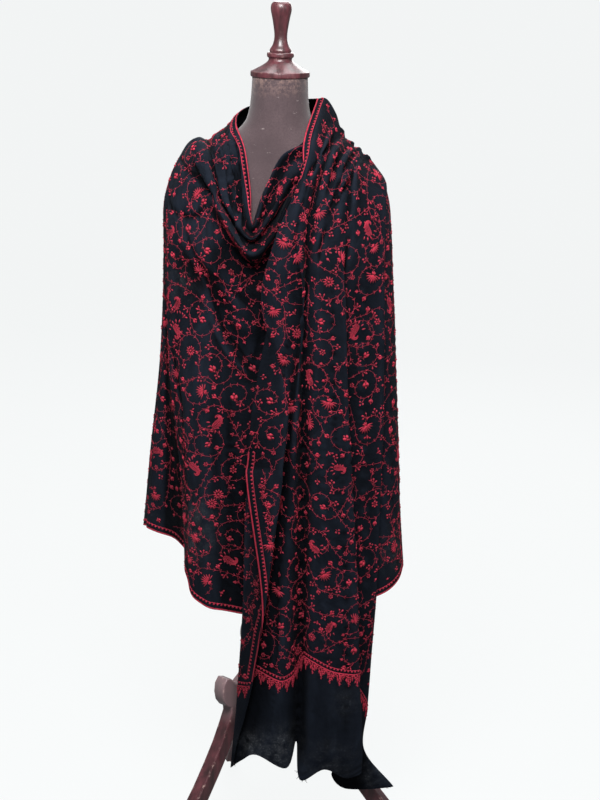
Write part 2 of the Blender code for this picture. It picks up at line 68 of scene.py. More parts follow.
# ---------------------------------------------------------------- the cloth's nets
BODY_ROWS = {
    "neck_edge": (
        (50, -64, 1428), (16, -88, 1398), (-22, -105, 1342), (-46, -117, 1272), (-50, -99, 1342),
        (-61, -76, 1408), (-80, -12, 1456), (-62, 48, 1475), (0, 72, 1487), (50, 55, 1493),
        (70, 12, 1497)),
    "first_ridge": (
        (52, -72, 1421), (6, -102, 1400), (-24, -120, 1330), (-42, -134, 1276), (-60, -112, 1332),
        (-73, -84, 1412), (-90, -8, 1449), (-72, 58, 1462), (0, 84, 1470), (62, 66, 1478),
        (88, 10, 1497)),
    "first_trough": (
        (54, -69, 1409), (18, -95, 1383), (-18, -113, 1308), (-46, -121, 1262), (-72, -103, 1316),
        (-87, -74, 1402), (-101, -6, 1435), (-84, 62, 1445), (0, 90, 1452), (74, 72, 1458),
        (106, 8, 1470)),
    "second_ridge": (
        (57, -87, 1392), (20, -122, 1358), (-12, -140, 1296), (-46, -150, 1255), (-84, -123, 1308),
        (-102, -82, 1399), (-120, -8, 1427), (-100, 68, 1425), (0, 94, 1436), (90, 78, 1438),
        (116, 4, 1441)),
    "second_trough": (
        (59, -87, 1374), (24, -112, 1338), (-10, -124, 1280), (-48, -129, 1246), (-97, -105, 1311),
        (-115, -78, 1380), (-133, -4, 1414), (-118, 72, 1408), (0, 97, 1418), (106, 82, 1418),
        (136, 0, 1417)),
    "third_ridge": (
        (62, -93, 1346), (24, -136, 1322), (-4, -158, 1266), (-48, -171, 1232), (-107, -130, 1310),
        (-131, -86, 1384), (-152, -6, 1419), (-140, 76, 1388), (0, 100, 1396), (124, 84, 1394),
        (154, -2, 1403)),
    "hollow": (
        (66, -101, 1290), (28, -116, 1262), (-8, -122, 1222), (-46, -124, 1198), (-114, -112, 1290),
        (-148, -72, 1360), (-180, -4, 1396), (-160, 82, 1350), (0, 106, 1350), (150, 86, 1350),
        (184, -2, 1374)),
    "breast_ridge": (
        (80, -118, 1200), (34, -124, 1150), (-8, -130, 1118), (-46, -134, 1108), (-108, -138, 1196),
        (-184, -84, 1268), (-214, -2, 1315), (-184, 80, 1272), (0, 114, 1240), (173, 84, 1268),
        (212, -2, 1305)),
    "breast_trough": (
        (80, -120, 1080), (36, -121, 1036), (-6, -122, 1014), (-46, -120, 1010), (-124, -108, 1136),
        (-196, -66, 1182), (-216, 0, 1200), (-186, 82, 1160), (0, 119, 1115), (178, 86, 1140),
        (221, -2, 1180)),
    "waist": (
        (80, -120, 950), (36, -123, 942), (-2, -126, 936), (-42, -129, 930), (-156, -118, 930),
        (-194, -62, 985), (-220, 0, 1010), (-186, 84, 985), (0, 124, 960), (182, 88, 985),
        (232, -2, 1010)),
    "thigh": (
        (80, -120, 720), (36, -122, 716), (-6, -124, 709), (-50, -127, 704), (-152, -117, 705),
        (-174, -62, 775), (-240, 0, 800), (-196, 88, 770), (0, 132, 730), (196, 92, 760),
        (250, 0, 770)),
    "hem": (
        (80, -118, 522), (36, -121, 518), (-14, -123, 514), (-62, -126, 513), (-149, -110, 538),
        (-168, -52, 614), (-254, 0, 643), (-205, 90, 600), (0, 140, 535), (205, 94, 555),
        (266, 0, 574)),
}
BODY_COLUMN_STEPS = (8, 8, 8, 14, 12, 13, 15, 36, 36, 15)
BODY_ROW_STEPS = (6, 6, 6, 6, 6, 7, 16, 16, 20, 28, 24)
HANGING_FOLDS = (
    # column_top, column_hem, first_row, half_width, height
    (4.10, 3.55, 7.5, 0.16, -7),
    (5.30, 4.60, 6.0, 0.18, -9),
    (5.60, 5.35, 6.0, 0.16, 8),
    (6.05, 6.10, 6.5, 0.14, 9),
    (6.35, 6.40, 6.0, 0.13, -9),
    (6.66, 6.72, 6.0, 0.14, 12),
    (7.02, 7.02, 5.5, 0.09, -16),
    (7.25, 7.22, 5.5, 0.10, 22),
    (7.47, 7.44, 5.0, 0.08, -16),
    (7.70, 7.68, 5.0, 0.11, 19),
    (7.92, 7.93, 4.5, 0.08, -18),
    (8.14, 8.18, 4.5, 0.10, 23),
    (8.36, 8.42, 5.0, 0.08, -16),
    (8.58, 8.64, 5.0, 0.10, 20),
    (8.80, 8.88, 5.5, 0.08, -16),
    (9.05, 9.12, 5.5, 0.13, 17),
    (9.38, 9.42, 6.0, 0.13, -10),
    (9.64, 9.68, 6.0, 0.10, 8),
)
ARM_ROWS = {
    "third_ridge": ((154, -2, 1403), (156, -22, 1394), (148, -42, 1384), (134, -56, 1364)),
    "hollow": ((184, -2, 1374), (186, -24, 1356), (178, -44, 1336), (160, -62, 1314)),
    "breast_ridge": ((212, -2, 1305), (210, -40, 1284), (197, -68, 1256), (170, -84, 1240)),
    "breast_trough": ((221, -2, 1180), (221, -46, 1164), (206, -78, 1142), (172, -96, 1130)),
    "waist": ((232, -2, 1010), (231, -48, 1000), (213, -82, 985), (172, -100, 975)),
    "thigh": ((250, 0, 770), (247, -48, 757), (222, -82, 740), (174, -100, 732)),
    "hem": ((266, 0, 574), (254, -42, 557), (227, -74, 542), (176, -94, 527)),
}
ARM_COLUMN_STEPS = (8, 8, 6)
ARM_FIRST_ROW = 6          # of the body net, where the arm's front begins
CREST_SHARE = (0.0, 0.25, 0.5, 0.8, 1.6, 2.3, 2.9, 3.4, 3.9, 4.3, 4.7, 5.0, 5.35, 5.85, 5.95)
FALL_ROWS = {
    "shoulder": (
        (46, -89, 1424), (52, -91, 1425), (58, -93, 1427), (66, -95, 1427), (78, -83, 1416),
        (85, -86, 1415), (92, -72, 1405), (102, -82, 1407), (113, -72, 1396), (124, -78, 1393),
        (134, -66, 1380), (144, -72, 1376), (156, -62, 1365), (200, -32, 1351), (195, -31, 1348)),
    "collarbone": (
        (50, -130, 1348), (43, -129, 1350), (37, -134, 1352), (46, -142, 1351), (56, -138, 1348),
        (62, -131, 1345), (73, -116, 1338), (87, -126, 1334), (103, -116, 1327), (119, -120, 1323),
        (132, -106, 1316), (143, -109, 1314), (157, -97, 1309), (201, -60, 1314), (195, -58, 1311)),
    "breast": (
        (22, -156, 1256), (9, -155, 1256), (-1, -161, 1256), (16, -172, 1254), (36, -164, 1252),
        (48, -156, 1250), (60, -137, 1247), (76, -150, 1246), (96, -149, 1244), (112, -146, 1241),
        (124, -141, 1239), (131, -132, 1237), (148, -125, 1236), (200, -84, 1240),
        (193, -81, 1238)),
    "ribs": (
        (-5, -146, 1130), (-15, -143, 1130), (-23, -149, 1130), (6, -168, 1130), (49, -147, 1130),
        (53, -149, 1130), (56, -136, 1130), (78, -155, 1130), (100, -158, 1130), (119, -156, 1130),
        (132, -148, 1130), (118, -138, 1130), (146, -127, 1130), (203, -95, 1130),
        (194, -91, 1130)),
    "waist": (
        (-35, -160, 960), (22, -172, 960), (25, -163, 960), (28, -157, 958), (36, -148, 950),
        (46, -155, 950), (57, -136, 950), (80, -156, 950), (108, -163, 950), (129, -160, 950),
        (142, -150, 950), (121, -139, 950), (150, -127, 950), (207, -102, 950), (197, -97, 950)),
    "hip": (
        (-46, -164, 838), (19, -172, 838), (12, -163, 838), (17, -160, 846), (30, -149, 868),
        (43, -157, 868), (59, -136, 868), (82, -156, 868), (111, -164, 868), (135, -160, 868),
        (149, -150, 868), (127, -139, 868), (155, -127, 868), (209, -102, 868), (198, -97, 868)),
    "thigh": (
        (-46, -173, 786), (19, -171, 786), (-42, -150, 786), (-10, -148, 775), (20, -148, 750),
        (40, -159, 750), (61, -136, 750), (84, -156, 750), (115, -165, 750), (143, -161, 750),
        (157, -150, 750), (134, -139, 750), (161, -127, 750), (209, -102, 750), (199, -97, 750)),
    "knee": (
        (-14, -169, 550), (-8, -166, 550), (-50, -143, 550), (-22, -145, 550), (4, -150, 550),
        (32, -164, 550), (61, -135, 550), (86, -157, 550), (122, -166, 550), (157, -160, 550),
        (172, -148, 550), (149, -137, 550), (173, -125, 550), (209, -100, 550), (199, -94, 550)),
    "calf": (
        (-26, -161, 400), (-36, -156, 400), (-57, -138, 400), (-30, -143, 400), (2, -156, 400),
        (30, -165, 400), (62, -131, 400), (88, -155, 400), (126, -164, 400), (165, -157, 400),
        (180, -144, 400), (158, -133, 400), (176, -121, 400), (203, -92, 400), (194, -86, 400)),
    "shin": (
        (-44, -149, 300), (-50, -145, 300), (-61, -132, 300), (-36, -138, 300), (-5, -154, 300),
        (28, -162, 300), (62, -128, 300), (88, -151, 300), (128, -160, 300), (170, -151, 300),
        (187, -137, 300), (164, -127, 300), (178, -116, 300), (199, -88, 300), (190, -84, 300)),
    "ankle": (
        (-57, -139, 246), (-60, -136, 244), (-65, -127, 242), (-42, -135, 246), (-13, -151, 252),
        (26, -159, 250), (61, -125, 262), (86, -149, 225), (128, -156, 232), (170, -148, 225),
        (190, -136, 228), (150, -123, 226), (169, -104, 210), (196, -83, 203), (188, -79, 205)),
    "hem": (
        (-66, -129, 190), (-68, -127, 185), (-70, -120, 179), (-50, -130, 199), (-20, -149, 222),
        (40, -148, 194), (59, -122, 240), (68, -144, 167), (116, -152, 195), (160, -142, 172),
        (190, -131, 181), (132, -117, 172), (160, -94, 124), (254, -80, 122), (247, -73, 126)),
}
FALL_COLUMN_STEPS = (8, 10, 8, 6, 7, 8, 8, 8, 8, 6, 6, 6, 10, 4)
FALL_ROW_STEPS = (14, 13, 15, 18, 24, 12, 17, 28, 21, 14, 9, 9)

# Creases laid on top of the net's folds: height (minus for a trough), half width, and
# the (row, column) stations that each one runs through.
BODY_CREASES = (
    (-10, 4, ((0.3, 6.0), (1.2, 5.3), (1.3, 4.7), (1.4, 4.2), (2.0, 3.6), (2.8, 3.35))),
    (8, 4.5, ((1.7, 5.8), (2.4, 5.0), (2.4, 4.2), (2.9, 3.7), (4.2, 3.35))),
    (-13, 5, ((4.8, 5.3), (4.4, 4.8), (4.2, 4.2), (3.9, 3.8), (4.2, 3.4), (4.5, 3.1), (4.4, 2.5))),
    (-11, 4.5, ((6.2, 5.9), (6.2, 5.4), (6.0, 4.85), (5.6, 4.4), (5.0, 4.1))),
    (9, 4, ((1.0, 5.9), (1.8, 5.2), (1.9, 4.5), (2.1, 3.9), (3.0, 3.5))),
    (-9, 4, ((2.5, 5.8), (2.9, 5.1), (2.6, 4.4), (2.6, 3.9), (3.2, 3.6))),
    (9, 4, ((4.0, 5.5), (3.9, 4.9), (3.5, 4.3), (3.4, 3.8))),
    (9, 4, ((5.8, 5.5), (5.7, 5.1), (5.5, 4.7), (4.9, 4.3))),
    (-9, 4, ((6.9, 5.6), (6.9, 5.2), (6.6, 4.7), (6.2, 4.4))),
    (6, 5, ((5.4, 5.6), (5.4, 5.0), (5.0, 4.6), (4.3, 4.3), (3.8, 4.0))),
    (-7, 5, ((3.0, 5.6), (3.3, 5.0), (2.8, 4.3), (2.9, 3.9), (3.5, 3.5))),
    (-5, 6, ((7.6, 4.2), (7.9, 3.95), (8.1, 3.6), (8.0, 3.3), (7.9, 2.8))),
    (3.5, 6, ((8.0, 4.2), (8.2, 3.8), (8.3, 3.4), (8.2, 3.0))),
    (-3, 5, ((6.7, 4.95), (7.1, 4.6), (7.6, 4.15))),
    (3, 5, ((6.8, 5.2), (7.2, 4.75), (7.6, 4.4), (7.9, 4.1))),
    (-6, 8, ((8.0, 5.3), (8.8, 4.8), (9.1, 4.35), (9.7, 4.3), (10.4, 4.3))),
    (-7, 11, ((6.5, 3.8), (6.1, 3.4), (6.0, 2.9), (6.3, 2.1))),
    (4, 6, ((6.9, 4.1), (6.8, 3.7), (6.6, 3.3), (6.5, 2.8), (6.6, 2.2))),
    (-4, 6, ((7.4, 4.1), (7.1, 3.7), (6.8, 3.2), (6.8, 2.3))),
    (3, 7, ((7.9, 3.7), (7.5, 3.4), (7.2, 3.0), (7.0, 2.5))),
    (-5, 5, ((7.3, 2.4), (7.5, 2.6), (7.8, 2.9))),
    (-4, 4, ((2.8, 0.6), (3.9, 1.1), (4.1, 1.6), (3.6, 2.2), (3.2, 3.0))),
    (-3, 4, ((2.7, 1.1), (2.7, 1.7), (2.4, 2.3), (2.2, 3.0))),
    (3.0, 8, ((7.0, 5.8), (8.5, 5.2), (9.6, 4.6))),
    (2.5, 6, ((5.2, 5.75), (6.4, 5.5), (7.8, 5.4))),
    (-2.2, 7, ((8.6, 4.7), (9.4, 4.2), (10.3, 4.05))),
    (2.8, 9, ((8.2, 3.9), (9.3, 3.7), (10.6, 3.75))),
    (-2.4, 8, ((8.8, 3.4), (9.8, 3.3), (10.9, 3.3))),
    (-1.8, 5, ((4.6, 2.9), (4.4, 2.0), (4.5, 1.1))),
    (1.8, 5, ((5.3, 3.2), (5.2, 2.3), (5.4, 1.3))),
    (3.0, 7, ((4.4, 6.4), (5.1, 6.1), (6.0, 6.0))),
    (-3.0, 7, ((4.2, 5.9), (5.2, 5.9), (6.6, 5.85))),
    (2.6, 6, ((3.8, 5.6), (5.0, 5.65), (6.2, 5.6))),
    (-2.6, 8, ((6.4, 6.3), (7.6, 6.25), (8.8, 6.4))),
    (2.8, 9, ((6.8, 6.7), (8.0, 6.55), (9.5, 6.6))),
    (2.4, 7, ((2.5, 6.9), (3.6, 7.5), (4.0, 8.1))),
    (-2.6, 7, ((3.2, 6.9), (4.2, 7.5), (4.6, 8.0), (4.3, 8.6))),
    (2.8, 8, ((4.4, 7.2), (5.2, 7.8), (5.3, 8.3), (4.7, 8.9))),
    (-2.4, 8, ((5.0, 9.1), (5.8, 8.5), (6.2, 8.0))),
    (2.2, 7, ((1.5, 7.4), (2.0, 8.0), (1.6, 8.7))),
    (-2.2, 6, ((2.2, 9.6), (3.4, 9.2), (4.2, 8.7))),
    (2.4, 8, ((5.6, 9.8), (6.8, 9.5), (8.0, 9.4))),
    (-2.4, 8, ((6.6, 10.4), (7.8, 10.2), (9.2, 10.3))),
    (2.4, 9, ((7.4, 11.2), (8.8, 10.9), (10.2, 11.0))),
    (-2.2, 8, ((8.2, 11.9), (9.6, 11.6), (10.8, 11.7))),
    (5, 6, ((2.9, 9.2), (3.1, 9.7), (3.1, 10.2), (3.1, 10.8))),
    (-4, 5, ((3.4, 9.2), (3.6, 9.7), (3.6, 10.2), (3.6, 10.8))),
    (5, 5, ((3.9, 9.1), (4.1, 9.6), (4.1, 10.2), (4.1, 10.8))),
    (-5, 4, ((4.4, 9.1), (4.5, 9.6), (4.5, 10.2), (4.5, 10.8))),
    (5, 5, ((4.9, 9.1), (4.9, 9.6), (4.9, 10.2), (4.9, 10.8))),
    (-4, 4, ((5.2, 9.2), (5.2, 9.6), (5.2, 10.2), (5.2, 10.8))),
    (4, 5, ((5.5, 9.2), (5.5, 9.6), (5.5, 10.2), (5.5, 10.8))),
)
FALL_CREASES = (
    (-8, 5, ((0.3, 5.4), (0.7, 5.7), (1.1, 5.3), (1.4, 4.4), (1.8, 3.0))),
    (-8, 4.5, ((0.1, 11.3), (0.9, 10.8), (1.4, 10.1), (1.8, 8.9), (2.2, 8.1))),
    (-7, 4, ((0.0, 8.4), (0.9, 8.1), (1.2, 7.8), (1.7, 7.4), (2.2, 7.0))),
    (-7, 4, ((0.0, 10.2), (0.9, 9.6), (1.4, 8.9), (1.8, 8.3), (2.3, 7.8))),
    (5, 4, ((0.3, 10.8), (1.1, 10.1), (1.5, 9.2), (1.9, 8.5))),
    (5, 4, ((0.0, 9.3), (0.8, 8.9), (1.3, 8.4), (1.8, 7.9), (2.3, 7.4))),
    (5, 4, ((0.1, 7.4), (0.9, 7.1), (1.5, 6.8), (2.2, 6.4))),
    (-6, 4, ((1.7, 5.8), (2.2, 5.6), (2.7, 5.6), (3.2, 5.5))),
    (-5, 4, ((2.6, 7.7), (3.0, 7.3), (3.3, 7.2))),
    (4, 4, ((2.5, 7.3), (2.9, 7.0), (3.2, 6.8), (3.5, 6.6))),
    (-5, 4, ((3.2, 6.2), (3.8, 6.2), (4.1, 5.4), (4.4, 4.4), (4.8, 4.0))),
    (-6, 4, ((4.3, 3.6), (4.7, 2.9), (5.2, 2.6), (5.8, 2.6), (6.3, 2.9))),
    (-6, 4, ((6.0, 4.0), (7.0, 3.9), (7.8, 4.0))),
    (-7, 4, ((4.6, 6.2), (5.2, 6.0), (6.4, 6.0), (8.0, 6.05), (9.4, 6.0), (11.6, 6.0))),
    (-4, 11, ((5.4, 6.0), (6.6, 6.0), (8.0, 6.0), (9.4, 6.0), (11.8, 6.0))),
    (4, 4.5, ((4.7, 5.9), (5.2, 5.2), (5.8, 5.0), (6.8, 4.9))),
    (-5, 5, ((7.2, 3.9), (7.8, 4.3), (8.3, 4.5), (8.9, 4.6))),
    (-4, 4, ((4.6, 9.75), (6.0, 9.8), (8.0, 9.8), (10.0, 9.8))),
    (-2.4, 4, ((1.4, 3.6), (2.4, 4.0), (3.8, 4.1))),
    (-2.0, 6, ((3.2, 8.4), (5.0, 8.3), (7.4, 8.4))),
    (1.8, 7, ((4.6, 7.5), (6.8, 7.5), (9.2, 7.6))),
    (-1.8, 7, ((6.2, 8.8), (8.2, 8.7), (10.6, 8.6))),
    (2.0, 7, ((5.8, 3.4), (7.6, 3.5), (9.6, 3.6))),
    (-1.8, 6, ((7.0, 4.4), (8.8, 4.5), (10.8, 4.4))),
    (1.8, 8, ((8.4, 8.1), (10.0, 8.0), (11.6, 8.1))),
    (2.0, 7, ((3.0, 12.3), (5.6, 12.3), (8.6, 12.4))),
)
# Where the short end's border crosses the fall: column and height.
END_LINE = (
    (0, 380), (1, 374), (2, 368), (3, 412), (4, 398), (5, 391), (5.8, 397), (6.1, 436), (7, 432),
    (8, 414), (9, 405), (10, 403), (11, 396), (12, 360), (13, 300), (14, 295),
)
CREASE_SAMPLES = 26        # along each crease
# The size of the slow swell of limp cloth on the wrap and on the fall.
WRAP_SWELL = 0.09
FALL_SWELL = 0.08
# Painted shade and highlight: a fold is told from the cloth round it by rounds of smoothing,
# full depth and share; troughs are painted darker and ridges lighter.
PAINTED_SHADE_READINGS = ((5, 1.6 * MM, 0.75), (36, 7.0 * MM, 1.1))
# Stations (row, column) along the deepest part of the hollow below the lowest cowl fold, where
# shadow is painted.
COWL_HOLLOW = (
    (6.5, 3.7), (6.3, 3.4), (6.2, 3.1), (6.2, 2.8), (6.3, 2.5), (6.4, 2.2), (6.6, 1.9), (7.0, 1.8),
    (7.4, 1.9),
)
# Rubbed places: row, column, radius and strength.
BODY_WEAR = (
    (10.3, 4.25, 48, 0.8), (9.9, 3.9, 34, 0.5), (10.6, 11.1, 42, 0.8), (8.1, 4.8, 40, 0.35),
    (10.7, 6.3, 40, 0.6), (10.5, 8.0, 55, 0.6), (6.3, 8.0, 60, 0.4), (6.0, 5.9, 40, 0.45),
    (4.5, 8.6, 50, 0.3),
)
FALL_WEAR = (
    (11.5, 3.7, 30, 1.0), (11.3, 4.9, 34, 1.0), (10.8, 5.3, 26, 0.7), (11.5, 8.2, 40, 0.5),
    (9.5, 8.6, 30, 0.3), (11.6, 12.8, 30, 0.6),
)

# What a scroll of vine closes on: its share of the scrolls, turns, and clear radius in mm.
MOTIFS = {
    "heart": (0.5, 1.18, 8.0),
    "rosette": (0.12, 1.12, 9.0),
    "lotus": (0.17, 0.88, 13.0),
    "daisy": (0.07, 0.95, 13.0),
    "paisley": (0.035, 0.62, 25.0),
}
# Blossoms with a place of their own: kind, row and column.
BODY_MOTIFS = (
    ("paisley", 2.7, 4.7), ("paisley", 7.2, 5.15), ("paisley", 8.3, 4.8), ("paisley", 9.1, 3.6),
    ("paisley", 9.5, 5.2), ("paisley", 10.0, 5.7), ("paisley", 9.6, 4.0), ("paisley", 10.4, 3.2),
    ("lotus", 6.1, 4.7), ("lotus", 5.6, 3.6), ("lotus", 3.0, 1.3), ("lotus", 8.9, 4.7),
    ("paisley", 9.7, 11.4), ("lotus", 10.6, 11.5),
)
FALL_MOTIFS = (
    ("lotus", 3.3, 4.0), ("lotus", 2.4, 7.1), ("paisley", 2.5, 12.4), ("lotus", 3.1, 12.6),
    ("paisley", 4.3, 12.2), ("lotus", 4.6, 3.2), ("paisley", 4.7, 6.8), ("lotus", 5.0, 7.6),
    ("paisley", 6.5, 8.7), ("lotus", 6.4, 1.6), ("paisley", 7.0, 4.5), ("paisley", 7.4, 7.0),
    ("lotus", 7.7, 7.8), ("lotus", 7.9, 4.6), ("paisley", 8.3, 8.2),
)
STITCHED_STEP = 2.4 * MM
# Sprigs along a vine: where they may stand on it, what to choose from, their distance from any
# vine and from each other. Then the same for sprigs that fill open ground.
SPRIG_SHARES = np.arange(0.03, 0.95, 0.068)
SPRIGS = ("berries", "berries", "bud", "bud", "leaf", "leaf", "floret", "twig", "twig")
SPRIG_GROUND = 5.6 * MM
SPRIG_APART = 17.0 * MM
FILLER_TRIES = 6000
FILLER_GROUND = 14.5 * MM
# Borders: insets in mm of the selvage's solid band and of its beads, and the bead's size; the
# same for the short end, with its fringe of points; and the creeper inside the fall's selvage.
BAND_THREAD = 1.5 * MM
BAND_STEP = 4 * MM
SELVAGE_BAND = (1.2, 2.5)
SELVAGE_BEADS = (13.5, 7.6)
END_BAND = (3.4, 4.8)
END_BEADS = (5.0, 7.2)
FRINGE_INSET = 7.6 * MM
FRINGE_PITCH = 19.0 * MM
CREEPER_ROW = 6.3
CREEPER_INSET = 31 * MM
CREEPER_SWING = 6 * MM
CREEPER_WAVE = 74.0 * MM
PETAL_UNEVENNESS = 0.08
THREAD_SIDES = 4
THREAD_FLATNESS = (0.5, 1.0, 1.0)
# Rows of the fall where its free edge goes in under the wrap and comes out, and those between
# which its border isn't stitched.
TUCKED_ROWS = (3.4, 6.2)
UNSTITCHED_ROWS = (3.5, 5.9)
# Where the fall's free edge is turned and shows its wrong side: from this row, to this column.
TURNED_OVER = (6.2, 2.4)
# Painted shadow beside other layers: from this row of the fall, to this column, and how far it
# reaches.
# Then how far the painted shadow along the cowl's hollow reaches.
FREE_EDGE = (1.8, 3.2, 24 * MM)
FLAP_EDGE = (6.1, 1.3, 26 * MM)
HOLLOW_REACH = 34 * MM
# Loose threads at the corners of the short end: column and how many.
FRAYED = ((0.05, 9), (6.9, 7), (7.2, 6), (13.0, 12), (12.6, 4))

# ---------------------------------------------------------------- the form and its stand
FORM_SECTIONS = (
    # height, half_width, front, back
    (1537, 52, 52, 52),
    (1500, 54, 54, 54),
    (1472, 58, 58, 59),
    (1450, 67, 62, 65),
    (1431, 88, 66, 72),
    (1413, 119, 71, 80),
    (1394, 151, 78, 87),
    (1372, 176, 86, 92),
    (1345, 188, 93, 96),
    (1308, 192, 101, 97),
    (1260, 187, 109, 96),
    (1210, 176, 113, 92),
    (1155, 160, 107, 85),
    (1095, 140, 96, 77),
    (1030, 126, 88, 73),
    (960, 134, 92, 82),
    (890, 150, 98, 97),
    (820, 161, 102, 108),
    (760, 164, 101, 109),
    (716, 161, 97, 105),
    (700, 150, 88, 96),
)
TURNED = {
    # name: rounded steps between profile points, and (height, radius) from the top down
    "finial": (6, (
        (1675, 14), (1670, 18.5), (1660, 19.5), (1640, 15.5), (1614, 12), (1598, 14.5), (1588, 20),
        (1583, 20),
    )),
    "neck_cap": (6, (
        (1582.7, 23), (1581, 25), (1575, 25), (1572, 22), (1566, 24), (1558, 35), (1550, 50),
        (1548, 54.5), (1546, 55.5), (1540, 55.5), (1538, 54), (1537.3, 50),
    )),
    "stand_plate": (1, ((699.7, 83), (697.7, 85), (689.7, 85), (685.7, 81))),
    "stand_pole": (1, ((685.4, 30), (679.4, 30), (671.4, 16), (512.3, 16))),
    "stand_vase": (6, (
        (512, 19), (508, 26), (502, 28), (496, 25), (490, 24), (480, 31), (462, 46), (440, 57),
        (418, 60), (400, 54), (388, 42), (380, 33), (377, 31),
    )),
    "stand_hub": (1, (
        (376.7, 34), (373.7, 37), (270, 37), (264, 33), (258, 22), (250, 17), (243, 8),
    )),
}
FORM_SIDES = 96
FORM_SQUARENESS = 2.25              # 2 is an ellipse
SCUFFED_HEIGHTS = (1.500, 1.535)    # of the jersey, under the cap
LINT_COLOUR = (0.42, 0.36, 0.35)
KNITTED_ROW = 0.0011
TURNED_SIDES = 72
LEG_AZIMUTHS = {"leg_front_left": 227.5, "leg_right": 347.5, "leg_back": 107.5}
LEG_THICKNESS = 27 * MM
LEG_BEVEL = 2.0 * MM
RUBBED_EDGE = 5.0 * MM
PALER_HEIGHTS = (0.262, 0.305)      # of the legs' scrolls
# distance from the axis and height: hub, scroll, outer edge, foot, inner edge
LEG_OUTLINE = (
    (37.3, 370), (58, 365), (78, 352), (94, 341), (108, 346), (121, 360), (134, 364), (143, 352),
    (145, 334), (141, 316), (131, 303), (121, 299), (119, 287), (130, 262), (148, 226),
    (172, 187), (202, 143), (234, 102), (266, 64), (292, 36), (302, 20), (303, 0),
    (272, 0), (264, 16), (246, 40), (216, 76), (182, 120), (152, 164), (128, 202),
    (108, 236), (84, 262), (58, 273), (37.3, 277),
)

# ---------------------------------------------------------------- the studio
STAGE_SIDES = 96
# place, aim, size and power
LIGHTS = {
    "key": ((-0.15, -1.7, 2.75), (0, 0, 1.25), 1.2, 122),
    "fill": ((2.6, -3.0, 2.2), (0, 0, 0.9), 2.4, 18),
    "top": ((0.2, 0.9, 3.9), (0, 0, 1.0), 2.0, 70),
    "back": ((0.6, 3.2, 2.4), (0, 0, 1.0), 2.0, 60),
}
AIR_COLOUR = (0.96, 0.98, 1.0, 1.0)
AIR_STRENGTH = 0.25
# The camera looks down by the dip, in degrees, from beside the form's upright axis.
CAMERA_LENS = 78.3
CAMERA_DIP = 15.05
CAMERA_ROLL = 1.3
CAMERA_HEIGHT = 1.80
CAMERA_ASIDE = 0.051
CAMERA_AWAY = 3.3


# ---------------------------------------------------------------- node trees
class Wire:
    """A node's output. Arithmetic on it adds the Math nodes."""

    def __init__(self, graph, socket):
        self.graph = graph
        self.socket = socket

    def math(self, operation, *values):
        inputs = dict(enumerate(values))
        return self.graph.node("ShaderNodeMath", {"operation": operation}, inputs)

    def output(self, name):
        return Wire(self.graph, self.socket.node.outputs[name])

    def __add__(self, other):
        return self.math("ADD", self, other)

    def __sub__(self, other):
        return self.math("SUBTRACT", self, other)

    def __rsub__(self, other):
        return self.math("SUBTRACT", other, self)

    def __mul__(self, other):
        return self.math("MULTIPLY", self, other)

    __radd__ = __add__
    __rmul__ = __mul__

    def wave(self):
        return self.math("SINE", self)

    def between(self, low, high):
        """0 below low, 1 above high, and a straight ramp from one to the other."""
        return self.graph.node("ShaderNodeMapRange", {}, {0: self, 1: low, 2: high})


class Graph:
    """The nodes of one material or geometry tree."""

    def __init__(self, tree):
        self.tree = tree

    def node(self, kind, settings=None, inputs=None, output=0):
        made = self.tree.nodes.new(kind)
        for name, value in (settings or {}).items():
            setattr(made, name, value)
        for key, value in (inputs or {}).items():
            socket = made.inputs[key]
            if isinstance(value, Wire):
                self.tree.links.new(value.socket, socket)
            else:
                socket.default_value = value
        return Wire(self, made.outputs[output]) if made.outputs else None

    def colour_mix(self, factor, first, second):
        inputs = {0: factor, 6: as_colour(first), 7: as_colour(second)}
        return self.node("ShaderNodeMix", {"data_type": "RGBA"}, inputs, 2)

    def noise(self, at, scale, detail=3.0, roughness=0.55):
        inputs = {"Vector": at, "Scale": scale, "Detail": detail, "Roughness": roughness}
        return self.node("ShaderNodeTexNoise", {}, inputs)

    def stretched(self, at, scale):
        return self.node("ShaderNodeMapping", {}, {"Vector": at, "Scale": scale})

    def field(self, name):
        """A number that the mesh carries at each of its points."""
        return self.node("ShaderNodeAttribute", {"attribute_name": name}, {}, "Fac")

    def height(self, at):
        return self.node("ShaderNodeSeparateXYZ", {}, {"Vector": at}, "Z")


def as_colour(value):
    return value if isinstance(value, Wire) else (*value[:3], 1.0)


def new_material(name, steady):
    """A Principled material, its graph, and Object coordinates."""
    made = bpy.data.materials.new(name)
    made.use_nodes = True
    graph = Graph(made.node_tree)
    for socket, value in steady.items():
        made.node_tree.nodes["Principled BSDF"].inputs[socket].default_value = value
    return made, graph, graph.node("ShaderNodeTexCoord", {}, {}, "Object")


def fed(material, wires):
    """The material with these wires led to its shader."""
    tree = material.node_tree
    for socket, wire in wires.items():
        tree.links.new(wire.socket, tree.nodes["Principled BSDF"].inputs[socket])
    return material


def bump(graph, height, distance, strength=1.0, before=None):
    inputs = {"Height": height, "Distance": distance, "Strength": strength}
    if before:
        inputs["Normal"] = before
    return graph.node("ShaderNodeBump", {}, inputs)


